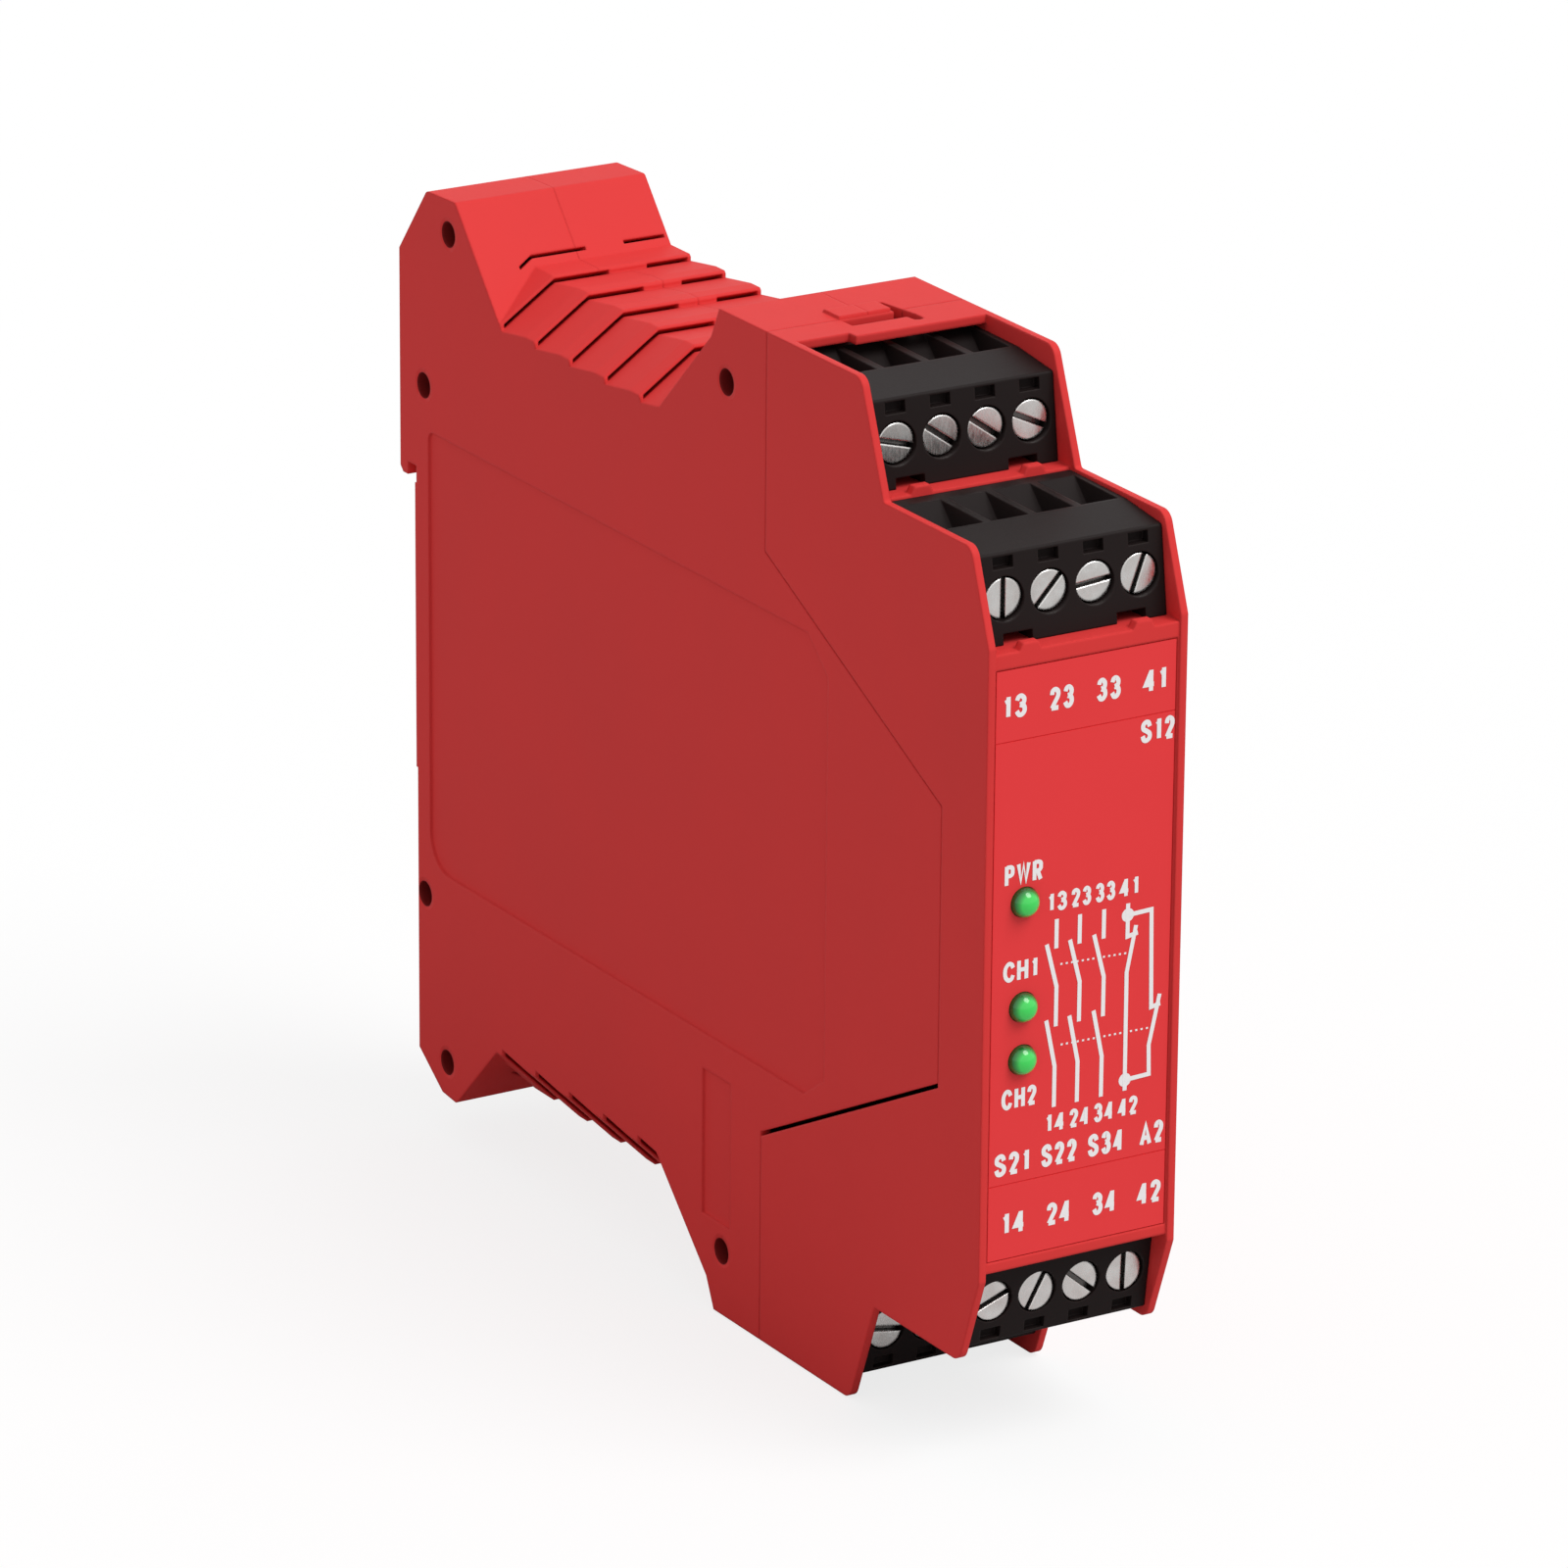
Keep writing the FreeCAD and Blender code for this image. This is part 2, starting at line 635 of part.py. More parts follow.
def bay_cuts():
    """Pin windows and the latch pocket of one end of the hood."""
    cuts = []
    rear_back = rear_block_foot - block_length - block_play
    side = pin_side / 2 + pin_play
    for depth, floor_height in ((rear_back, ledge_height), (rear_back + tier_step[0], panel_height)):
        level = floor_height + block_floor + screw_height
        for x in poles:
            cuts.append(box((x - side, x + side), (depth - hood_plate - 1, depth + 1),
                            (level - side, level + side)))
    cuts.append(box((-3.0, 3.4), (seam_depth + 0.3, seam_depth + 2.4), (tower_height - 2, tower_height + 1)))
    return cuts


def front_hood():
    """U-shaped front part: side walls, front panel and four terminal bays."""
    outline = module_outline()
    region = prism(base_region(-seam_gap / 2, seam_gap / 2 - slit_gap), -far, far)
    outer = prism(outline, -half_width, half_width).cut(region)
    hollow = prism(module_outline(), -inner_half, inner_half)
    walls = outer.cut(hollow)
    panel = box((-half_width + hood_wall / 2, half_width - hood_wall / 2),
                (front_depth - panel_plate, front_depth), (-panel_height, panel_height))
    upper = terminal_bays()
    lower = [turned_over(piece) for piece in terminal_bays()]
    hood = merged([walls, panel] + upper + lower + ledge_catches())
    cuts = bay_cuts()
    cuts += [turned_over(cut) for cut in bay_cuts()]
    cuts.append(latch_notch())
    cuts.append(turned_over(latch_notch()))
    half_label = label_half + label_play
    cuts.append(box((-half_label, half_label), (front_depth - label_sunk, front_depth + 1),
                    (label_bottom - label_play, label_top + label_play)))
    for height in led_heights.values():
        cuts.append(rod_forward(led_x, height, led_radius + led_play, front_depth - 5, front_depth + 1))
    return hood.cut(cuts).removeSplitter()


def front_label():
    """Printed film in the panel's recess, with two fine lines across it."""
    front = front_depth - label_sunk + label_thickness
    film = box((-label_half, label_half), (front_depth - label_sunk, front), (label_bottom, label_top))
    half_line = label_line[1] / 2
    cuts = []
    for height in (label_line[0], -label_line[0]):
        cuts.append(box((-far, far), (front - label_line[2], far), (height - half_line, height + half_line)))
    for height in led_heights.values():
        cuts.append(rod_forward(led_x, height, led_radius + led_play, front_depth - 5, front_depth + 1))
    return film.cut(cuts)


def led_lens(height):
    """Light guide: a domed rod with a flange behind the panel."""
    panel_back = front_depth - panel_plate
    rod_end = front_depth + led_rod
    rod = rod_forward(led_x, height, led_radius, panel_back - led_flange[1], rod_end)
    reach = led_radius + led_flange[0]
    flange = box((led_x - reach, led_x + reach), (panel_back - led_flange[1], panel_back),
                 (height - reach, height + reach))
    cap_radius = (led_radius ** 2 + led_dome ** 2) / (2 * led_dome)
    cap = Part.makeSphere(cap_radius, place(led_x, rod_end + led_dome - cap_radius, height))
    dome = cap.common(rod_forward(led_x, height, led_radius, rod_end, rod_end + led_dome + 1))
    return merged([rod, flange, dome])


# ---------------------------------------------------------------- terminals
def block_foot(tier):
    """Depth and height of a block's lower front edge: tier 0 is the rear one, 1 the front one."""
    depth = rear_block_foot + tier * tier_step[0]
    height = ledge_height + block_floor - tier * tier_step[1]
    return depth, height


def terminal_block(tier, catches):
    """Plug-in terminal block with wire funnels, screw wells, clamp chambers and pin sockets."""
    foot, floor_height = block_foot(tier)
    rear = foot - block_length
    brow = floor_height + block_top - block_brow[1]
    top = floor_height + block_height
    corners = [
        (foot, floor_height),
        (foot - block_brow[0], brow, 0.3),
        (foot - block_band, floor_height + block_top),
        (rear, top),
        (rear, floor_height),
    ]
    body = prism(corners, -block_half, block_half)
    axis = floor_height + screw_height
    seat = foot - screw_sunk - screw_head_length - seat_play
    half = cage_width / 2 + chamber_play
    tall = cage_height / 2 + chamber_play
    socket = pin_side / 2 + pin_play
    slot_level = brow - probe_slot[3]
    cuts = []
    for x in poles:
        thread = octagon((x, axis), screw_shank + shank_play)
        cuts.append(rod_forward(x, axis, screw_head + head_play, seat, foot + 1))
        cuts.append(front_prism(thread, foot - chamber_front - 1, seat + 0.5))
        cuts.append(box((x - half, x + half), (foot - chamber_rear, foot - chamber_front),
                        (axis - tall, axis + tall)))
        cuts.append(box((x - socket, x + socket), (rear - 1, foot - chamber_rear + 0.5),
                        (axis - socket, axis + socket)))
        cuts += wire_funnel(x, foot, axis, top)
        cuts.append(box((x - probe_slot[0] / 2, x + probe_slot[0] / 2),
                        (foot - block_brow[0] - probe_slot[2], foot + 1),
                        (slot_level - probe_slot[1] / 2, slot_level + probe_slot[1] / 2)))
    for x in catches:
        reach = tab_width / 2 + tab_play
        cuts.append(box((x - reach, x + reach), (rear - 1, foot + 1),
                        (floor_height - 1, floor_height + tab_height + tab_play)))
    return body.cut(cuts).removeSplitter()


def wire_funnel(x, foot, axis, top):
    """Funnel in a block's top and the square throat that leads on to the open cage."""
    mouth_middle = foot - block_band - funnel_brow - mouth_length / 2
    throat_middle = foot - cage_seat + cage_wall + (cage_length - cage_wall - cage_front_wall) / 2
    across, along = funnel_throat
    mouth = (mouth_middle, top + 0.05, funnel_mouth, mouth_length)
    throat = (throat_middle, top - funnel_depth, across, along)
    passage = box((x - across / 2, x + across / 2), (throat_middle - along / 2, throat_middle + along / 2),
                  (axis, top - funnel_depth + 0.2))
    return [funnel(x, mouth, throat), passage]


def terminal_screw(tier, x, angle):
    """Slotted screw: its head lies in the well and its shank draws the cage forward."""
    foot, floor_height = block_foot(tier)
    axis = floor_height + screw_height
    face = foot - screw_sunk
    seat = face - screw_head_length
    head = rod_forward(x, axis, screw_head, seat, face)
    shank = rod_forward(x, axis, screw_shank, seat - screw_length, seat + 0.2)
    slot = box((x - far, x + far), (face - screw_slot[1], face + 1),
               (axis - screw_slot[0] / 2, axis + screw_slot[0] / 2))
    slot.rotate(place(x, 0, axis), FreeCAD.Vector(0, -1, 0), angle)
    return head.fuse(shank).removeSplitter().cut(slot)


def clamp_cage(tier, x):
    """Square cage around the wire, wide open; the screw in its front wall draws it forward."""
    foot, floor_height = block_foot(tier)
    axis = floor_height + screw_height
    rear = foot - cage_seat
    front = rear + cage_length
    half = cage_width / 2
    tall = cage_height / 2
    cage = box((x - half, x + half), (rear, front), (axis - tall, axis + tall))
    opening = box((x - half + cage_wall, x + half - cage_wall), (rear + cage_wall, front - cage_front_wall),
                  (axis - far, axis + far))
    thread = octagon((x, axis), screw_shank + shank_play)
    return cage.cut([opening, front_prism(thread, front - cage_front_wall - 0.5, front + 1)])


def pin_header(tier):
    """Moulded strip that holds four contact pins on the board's edge."""
    foot, floor_height = block_foot(tier)
    front = foot - block_length - block_play - hood_plate - header_play
    level = floor_height + screw_height
    wide = half_width - base_wall - block_play * 3
    tall = header_height / 2
    strip = box((-wide, wide), (front - header_depth, front), (level - tall, level + tall))
    side = pin_side / 2
    return strip.cut([box((x - side, x + side), (front - far, front + 1), (level - side, level + side))
                      for x in poles])


def header_pins(tier):
    """Four square pins joined by the board's bus at their tails."""
    foot, floor_height = block_foot(tier)
    tip = foot - chamber_rear - pin_gap
    tail = foot - block_length - block_play - hood_plate - header_play - header_depth
    level = floor_height + screw_height
    side = pin_side / 2
    pins = []
    for x in poles:
        pin = box((x - side, x + side), (tail, tip), (level - side, level + side))
        pins.append(pin)
    return Part.makeCompound(pins)


# ---------------------------------------------------------------- inside the base
def circuit_board():
    """Board along the right wall, stepped round the four terminal bays."""
    rear_end = rear_block_foot - block_length - block_play - hood_plate - header_play - header_depth
    front_end = rear_end + tier_step[0]
    clear = seam_depth - latch_setback + catch_boss + 0.4
    below_panel, below_valley, below_tower = board_drop
    upper = [
        (board_rear, valley_height - below_valley),
        (clear, valley_height - below_valley),
        (clear, tower_height - below_tower),
        (rear_end, tower_height - below_tower),
        (rear_end, ledge_height - below_panel),
        (front_end, ledge_height - below_panel),
        (front_end, panel_height - below_panel),
        (front_depth - panel_plate - below_panel, panel_height - below_panel),
    ]
    board = prism(upper + mirrored_corners(upper), board_x - board_thickness, board_x)
    radius, depth, drop = board_hole
    level = valley_height - drop
    return board.cut([rod_across(depth, side * level, radius, board_x - 5, board_x + 5) for side in (1, -1)])


def relay_can(side):
    """Sealed relay with forcibly guided contacts, standing on the board."""
    face = board_x - board_thickness
    along, up = relay_size
    middle = side * relay_height
    can = box((face - part_height, face), (relay_depth, relay_depth + along),
              (middle - up / 2, middle + up / 2))
    edges = [edge for edge in can.Edges if edge.BoundBox.XLength > part_height - 0.1]
    return can.makeFillet(relay_round, edges)


def capacitor():
    """Supply capacitor, standing on the board."""
    face = board_x - board_thickness
    depth = front_depth - capacitor_setback
    return rod_across(depth, 0.0, capacitor_radius, face - part_height, face)


# ---------------------------------------------------------------- rail foot
def rail_foot():
    """Sliding foot: flanged plate, neck and sprung tooth that grips the rail's lower edge."""
    plate = box((-foot_half, foot_half), (foot_rear, foot_front), (-far, foot_top))
    neck = box((-foot_neck, foot_neck), (seat_relief, foot_rear + 0.1), (-far, foot_top))
    inside = side_face(module_outline(), -foot_half - 1).makeOffset2D(-foot_edge, 2)
    reach = inside.extrude(FreeCAD.Vector(2 * foot_half + 2, 0, 0))
    top_cut = box((-far, far), (-1.0, far), (foot_top, far))
    blank = merged([plate, neck]).common(reach).cut(top_cut)
    inner = foot_play - hook_slot
    root = seat_relief * 2 + 0.1
    slope, heel, end = foot_back
    tooth = [
        (root, foot_top),
        (inner, foot_top),
        (inner, foot_top + foot_tooth[0]),
        (inner - foot_tooth[1], foot_top + foot_tooth[0]),
        (hook_rear, foot_top - slope),
        (hook_rear, foot_top - heel),
        (inner, foot_top - end),
        (root, foot_top - end),
    ]
    foot = merged([blank, prism(tooth, -foot_neck, foot_neck)])
    window = box((-foot_window[0], foot_window[0]), (-1.0, foot_front + 1), (window_bottom, window_top))
    half, tall, up = driver_slot
    slot_bottom = up - tower_height
    driver = box((-half, half), (-1.0, foot_front + 1), (slot_bottom, slot_bottom + tall))
    return foot.cut([window, driver])


def foot_spring():
    """Compression spring between the left shell's ledge and the top of the foot's window."""
    length = spring_length - 2 * spring_wire - 0.1
    steps = spring_turns * spring_sides
    middle = (foot_rear + foot_front) / 2
    start = place(0, middle, ledge_top + spring_wire + 0.05)
    coil = []
    for step in range(steps + 1):
        angle = 2 * math.pi * step / spring_sides
        reach = FreeCAD.Vector(math.cos(angle), math.sin(angle), 0) * spring_radius
        coil.append(start + reach + FreeCAD.Vector(0, 0, length * step / steps))
    along = (coil[1] - coil[0]).normalize()
    outward = FreeCAD.Vector(1, 0, 0)
    outward = (outward - along * outward.dot(along)).normalize()
    upward = along.cross(outward)
    ring = []
    for step in range(7):
        angle = math.pi / 3 * step
        ring.append(coil[0] + (outward * math.cos(angle) + upward * math.sin(angle)) * spring_wire)
    return Part.Wire(Part.makePolygon(coil).Edges).makePipeShell([Part.makePolygon(ring)], True, False, 1)


# ---------------------------------------------------------------- every piece by name
def all_pieces():
    pieces = {}
    pieces["base_shell_left"], pieces["base_shell_right"] = base_shells()
    pieces["front_hood"] = front_hood()
    pieces["front_label"] = front_label()
    for name, height in led_heights.items():
        pieces[name] = led_lens(height)
    pieces["circuit_board"] = circuit_board()
    pieces["relay_channel_1"] = relay_can(1)
    pieces["relay_channel_2"] = relay_can(-1)
    pieces["supply_capacitor"] = capacitor()
    pieces["rail_foot"] = rail_foot()
    pieces["foot_spring"] = foot_spring()
    places = (
        ("upper_rear", 0, False),
        ("upper_front", 1, False),
        ("lower_front", 1, True),
        ("lower_rear", 0, True),
    )
    for (name, tier, turned), angles in zip(places, slot_angles):
        group = {
            "terminal_block_" + name: terminal_block(tier, () if turned else tabs),
            "pin_header_" + name: pin_header(tier),
            "header_pins_" + name: header_pins(tier),
        }
        for index, x in enumerate(poles):
            group["screw_%s_%d" % (name, index + 1)] = terminal_screw(tier, x, angles[index % len(angles)])
            group["cage_%s_%d" % (name, index + 1)] = clamp_cage(tier, x)
        for key, shape in group.items():
            pieces[key] = turned_over(shape) if turned else shape
    return pieces


def main():
    os.makedirs("parts", exist_ok=True)
    for name, shape in all_pieces().items():
        shape.exportStep("parts/%s.step" % name)
        print(name, "solids", len(shape.Solids), "valid", shape.isValid(), "volume", round(shape.Volume, 1))


main()
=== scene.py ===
import logging
import math
from dataclasses import dataclass, field
from enum import Enum
from typing import Any, Iterable

import bmesh
import bpy
from mathutils import Matrix, Quaternion, Vector


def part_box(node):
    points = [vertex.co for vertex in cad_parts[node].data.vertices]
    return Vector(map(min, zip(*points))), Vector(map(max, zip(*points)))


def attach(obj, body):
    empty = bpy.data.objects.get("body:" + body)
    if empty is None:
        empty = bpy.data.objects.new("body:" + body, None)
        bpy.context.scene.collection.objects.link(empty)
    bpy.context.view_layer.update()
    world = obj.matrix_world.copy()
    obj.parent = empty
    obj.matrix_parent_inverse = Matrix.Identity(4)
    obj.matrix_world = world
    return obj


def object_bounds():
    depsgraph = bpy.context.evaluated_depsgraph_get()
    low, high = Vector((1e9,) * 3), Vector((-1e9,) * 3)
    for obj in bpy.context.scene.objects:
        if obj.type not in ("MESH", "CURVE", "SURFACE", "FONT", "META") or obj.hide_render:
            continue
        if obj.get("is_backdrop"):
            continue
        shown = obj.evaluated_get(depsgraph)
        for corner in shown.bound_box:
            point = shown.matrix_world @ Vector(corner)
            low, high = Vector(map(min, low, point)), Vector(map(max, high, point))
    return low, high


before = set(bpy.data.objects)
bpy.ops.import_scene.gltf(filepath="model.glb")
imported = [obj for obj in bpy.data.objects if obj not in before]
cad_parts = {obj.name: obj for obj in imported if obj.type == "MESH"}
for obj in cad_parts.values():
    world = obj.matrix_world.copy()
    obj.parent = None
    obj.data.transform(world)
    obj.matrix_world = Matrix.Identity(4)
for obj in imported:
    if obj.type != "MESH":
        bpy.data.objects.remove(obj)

LOG = logging.getLogger("safety_relay")
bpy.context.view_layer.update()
MM = 0.001
Colour = tuple[float, float, float]
Point = tuple[float, float]


# ------------------------------------------------------------------ shader graphs
class Link:
    """One output of a shader node, with arithmetic that adds Math nodes."""

    def __init__(self, graph: "Graph", socket: bpy.types.NodeSocket) -> None:
        """Keeps the socket and the graph that it belongs to."""
        self.graph = graph
        self.socket = socket

    def math(self, operation: str, *values: Any) -> "Link":
        """Adds a Math node.

        Args:
            operation: Blender's name of the operation.
            values: The node's inputs in order, links or numbers.

        Returns:
            The node's output.
        """
        return self.graph.node("ShaderNodeMath", {"operation": operation}, dict(enumerate(values)))

    def __add__(self, other: Any) -> "Link":
        """Sum."""
        return self.math("ADD", self, other)

    def __radd__(self, other: Any) -> "Link":
        """Sum, reflected."""
        return self.math("ADD", other, self)

    def __sub__(self, other: Any) -> "Link":
        """Difference."""
        return self.math("SUBTRACT", self, other)

    def __rsub__(self, other: Any) -> "Link":
        """Difference, reflected."""
        return self.math("SUBTRACT", other, self)

    def __mul__(self, other: Any) -> "Link":
        """Product."""
        return self.math("MULTIPLY", self, other)

    def __rmul__(self, other: Any) -> "Link":
        """Product, reflected."""
        return self.math("MULTIPLY", other, self)

    def __pow__(self, other: Any) -> "Link":
        """Power."""
        return self.math("POWER", self, other)

    def clamped(self) -> "Link":
        """The value held between 0 and 1."""
        return self.math("MINIMUM", self.math("MAXIMUM", self, 0.0), 1.0)


class Graph:
    """The node tree of one material or world, built through one method."""

    def __init__(self, owner: bpy.types.Material | bpy.types.World) -> None:
        """Empties the owner's node tree.

        Args:
            owner: The material or world whose tree is built.
        """
        owner.use_nodes = True
        self.owner = owner
        self.tree = owner.node_tree
        self.tree.nodes.clear()

    def node(self, kind: str, settings: dict[str, Any] | None = None,
             inputs: dict[Any, Any] | None = None, output: Any = 0) -> Link:
        """Adds a node.

        Args:
            kind: Blender's type name of the node.
            settings: The node's own properties, and "stops" for a ramp's stops.
            inputs: Values or links by socket name or number.
            output: Name or number of the output to hand back.

        Returns:
            The chosen output.
        """
        node = self.tree.nodes.new(kind)
        for name, value in (settings or {}).items():
            if name == "stops":
                self._set_stops(node, value)
            else:
                setattr(node, name, value)
        for name, value in (inputs or {}).items():
            if isinstance(value, Link):
                self.tree.links.new(value.socket, node.inputs[name])
            elif value is not None:
                socket = node.inputs[name]
                four = socket.type == "RGBA" and len(value) == 3
                socket.default_value = (*value, 1.0) if four else value
        return Link(self, node.outputs[output]) if node.outputs else Link(self, None)

    @staticmethod
    def _set_stops(node: bpy.types.Node, stops: Iterable[tuple[float, Colour]]) -> None:
        """Gives a colour ramp its stops.

        Args:
            node: The ramp.
            stops: Position and colour of each stop.
        """
        ramp = node.color_ramp
        for index, (position, colour) in enumerate(stops):
            stop = ramp.elements[index] if index < 2 else ramp.elements.new(position)
            stop.position = position
            stop.color = (*colour, 1.0)

    def place(self) -> Link:
        """Object coordinates, which are the frame's own in metres."""
        return self.node("ShaderNodeTexCoord", output="Object")

    def noise(self, size: float, detail: float = 2.0, stretch: Colour = (1.0, 1.0, 1.0)) -> Link:
        """Noise with lumps of a given size.

        Args:
            size: Width of a lump in metres.
            detail: Octaves of finer noise.
            stretch: Scale along each axis, less than 1 draws the lumps out.

        Returns:
            A value around 0.5.
        """
        mapped = self.node("ShaderNodeMapping", None, {"Vector": self.place(), "Scale": stretch})
        values = {"Vector": mapped, "Scale": 1.0 / size, "Detail": detail}
        return self.node("ShaderNodeTexNoise", None, values, "Fac")

    def blend(self, factor: Any, first: Any, second: Any) -> Link:
        """Mix of two colours.

        Args:
            factor: Share of the second colour.
            first: Colour or link.
            second: Colour or link.

        Returns:
            The mixed colour.
        """
        node = self.tree.nodes.new("ShaderNodeMix")
        node.data_type = "RGBA"
        for socket, value in zip((node.inputs[0], node.inputs[6], node.inputs[7]), (factor, first, second)):
            if isinstance(value, Link):
                self.tree.links.new(value.socket, socket)
            else:
                socket.default_value = value if isinstance(value, float) else (*value, 1.0)
        return Link(self, node.outputs[2])

    def rounded(self, radius: float) -> Link:
        """Normal with edges rounded to a radius in metres."""
        return self.node("ShaderNodeBevel", {"samples": 6}, {"Radius": radius})

    def edge_mask(self, normal: Link) -> Link:
        """Mask that is 1 on an edge and 0 on a flat.

        Args:
            normal: Rounded normal.

        Returns:
            The mask.
        """
        flat = self.node("ShaderNodeNewGeometry", output="Normal")
        facing = self.node("ShaderNodeVectorMath", {"operation": "DOT_PRODUCT"}, {0: normal, 1: flat}, "Value")
        return ((1.0 - facing) * 4.0).clamped()

    def bump(self, height: Link, depth: float, normal: Link | None = None) -> Link:
        """Bump from a height.

        Args:
            height: Height from 0 to 1.
            depth: Real height in metres.
            normal: Normal that the bump is added to.

        Returns:
            The bumped normal.
        """
        values = {"Strength": 1.0, "Distance": depth, "Height": height}
        if normal is not None:
            values["Normal"] = normal
        return self.node("ShaderNodeBump", None, values)

    def surface(self, **inputs: Any) -> bpy.types.Material:
        """Closes the graph with a Principled surface.

        Args:
            inputs: Its sockets, with underscores for spaces.

        Returns:
            The finished material.
        """
        sockets = {name.replace("_", " "): value for name, value in inputs.items()}
        shader = self.node("ShaderNodeBsdfPrincipled", None, sockets)
        self.node("ShaderNodeOutputMaterial", None, {"Surface": shader})
        return self.owner


def new_graph(name: str) -> Graph:
    """A graph for a new material of that name."""
    return Graph(bpy.data.materials.new(name))


def shade(colour: Colour, factor: float) -> Colour:
    """The colour made lighter or darker."""
    return tuple(min(1.0, channel * factor) for channel in colour)


# ------------------------------------------------------------------ finishes
@dataclass(frozen=True)
class MouldedPlastic:
    """Injection-moulded plastic with an eroded grain, soft flow tones, eased edges and a highlight painted along
    the edges.
    """

    name: str
    colour: Colour
    roughness: float = 0.42
    specular: float = 0.4
    grain: float = 0.00022
    grain_depth: float = 0.000004
    tone: float = 0.05
    edge: float = 0.00022
    painted_edge_highlight: float = 1.25

    def material(self, holes: "MouldedHoles | None" = None) -> bpy.types.Material:
        """Builds the material.

        Args:
            holes: Round holes whose rims are eased under a painted highlight and whose bottoms get painted shade.

        Returns:
            The finished material.
        """
        graph = new_graph(self.name)
        broad = graph.noise(0.018, 3.0)
        fine = graph.noise(self.grain, 2.0)
        normal = graph.rounded(self.edge)
        edge = graph.edge_mask(normal)
        tones = graph.blend(broad, shade(self.colour, 1.0 - self.tone), shade(self.colour, 1.0 + self.tone))
        # Painted highlight: the colour is lightened along every edge.
        colour = graph.blend(edge * 0.6, tones, shade(self.colour, self.painted_edge_highlight))
        if holes is not None:
            rim, hole_shade = holes.masks(graph)
            # Painted highlight round each hole's rim.
            colour = graph.blend(rim * 0.5, colour, shade(self.colour, self.painted_edge_highlight))
            # Painted shade inside each hole.
            colour = graph.blend(hole_shade, colour, shade(self.colour, holes.dark))
            normal = graph.bump(1.0 - rim, holes.rim * 0.4, normal)
        rough = self.roughness + (broad - 0.5) * 0.12 + (fine - 0.5) * 0.08
        return graph.surface(Base_Color=colour, Roughness=rough, Specular_IOR_Level=self.specular,
                             Normal=graph.bump(fine, self.grain_depth, normal))


@dataclass(frozen=True)
class MouldedHoles:
    """Round holes across the left half of a moulding, each given by where its axis lies in Y and Z."""

    axes: tuple[Point, ...]
    radius: float
    rim: float
    # Share of the housing colour that the painted shade inside the holes keeps.
    dark: float = 0.3

    def masks(self, graph: Graph) -> tuple[Link, Link]:
        """Masks of the rims' painted highlight and of the painted shade in the holes' insides.

        Args:
            graph: Graph that gets the nodes.

        Returns:
            Mask of the rims' painted highlight, then mask of the insides' painted shade.
        """
        across = graph.node("ShaderNodeSeparateXYZ", None, {0: graph.place()}, "X")
        left = across.math("LESS_THAN", across, 0.0)
        flat = graph.node("ShaderNodeVectorMath", {"operation": "MULTIPLY"}, {0: graph.place(), 1: (0.0, 1.0, 1.0)})
        nearest = None
        for y, z in self.axes:
            away = graph.node("ShaderNodeVectorMath", {"operation": "DISTANCE"}, {0: flat, 1: (0.0, y, z)}, "Value")
            nearest = away if nearest is None else away.math("MINIMUM", away, nearest)
        past = (nearest - self.radius) * (1.0 / self.rim)
        rim = (1.0 - past).clamped() * left
        hole_shade = (1.0 - past * 8.0).clamped() * left
        return rim, hole_shade


@dataclass(frozen=True)
class PrintedFilm:
    """Smooth label film with a fine stipple under a satin varnish."""

    name: str
    colour: Colour

    def material(self) -> bpy.types.Material:
        """Builds the material."""
        graph = new_graph(self.name)
        broad = graph.noise(0.012, 2.0)
        stipple = graph.noise(0.0003, 1.0)
        colour = graph.blend(broad, shade(self.colour, 0.97), shade(self.colour, 1.03))
        rough = 0.4 + (stipple - 0.5) * 0.1
        return graph.surface(Base_Color=colour, Roughness=rough, Specular_IOR_Level=0.12,
                             Normal=graph.bump(stipple, 0.0000015))


@dataclass(frozen=True)
class ScreenInk:
    """Opaque printing ink that lies slightly uneven on the film."""

    name: str
    colour: Colour

    def material(self) -> bpy.types.Material:
        """Builds the material."""
        graph = new_graph(self.name)
        cover = graph.noise(0.00025, 3.0)
        colour = graph.blend(cover, shade(self.colour, 0.93), self.colour)
        return graph.surface(Base_Color=colour, Roughness=0.45 + (cover - 0.5) * 0.15,
                             Specular_IOR_Level=0.2, Normal=graph.bump(cover, 0.000003))


@dataclass(frozen=True)
class LensPlastic:
    """Tinted light guide that is brighter in its middle, under a glossy dome."""

    name: str
    rim: Colour
    core: Colour
    radius: float

    def material(self, middle: Vector) -> bpy.types.Material:
        """Builds the material for one lens.

        Args:
            middle: The lens's middle in the frame.

        Returns:
            The finished material.
        """
        graph = new_graph(self.name)
        offset = graph.node("ShaderNodeVectorMath", {"operation": "SUBTRACT"}, {0: graph.place(), 1: tuple(middle)})
        spread = graph.node("ShaderNodeVectorMath", {"operation": "MULTIPLY"}, {0: offset, 1: (1.0, 0.0, 1.0)})
        away = graph.node("ShaderNodeVectorMath", {"operation": "LENGTH"}, {0: spread}, "Value")
        core = ((1.0 - away * (1.0 / self.radius)).clamped() * 2.6).clamped() ** 1.2
        cloud = graph.noise(0.0009, 2.0)
        colour = graph.blend((core + (cloud - 0.5) * 0.15).clamped(), self.rim, self.core)
        return graph.surface(Base_Color=colour, Roughness=0.12 + cloud * 0.06, Coat_Weight=0.4,
                             Emission_Color=colour, Emission_Strength=0.2,
                             Normal=graph.bump(cloud, 0.000004))


class Lay(Enum):
    """Direction of the tool marks on metal."""

    TURNED = "rings round the axis"
    ROLLED = "streaks along the strip"


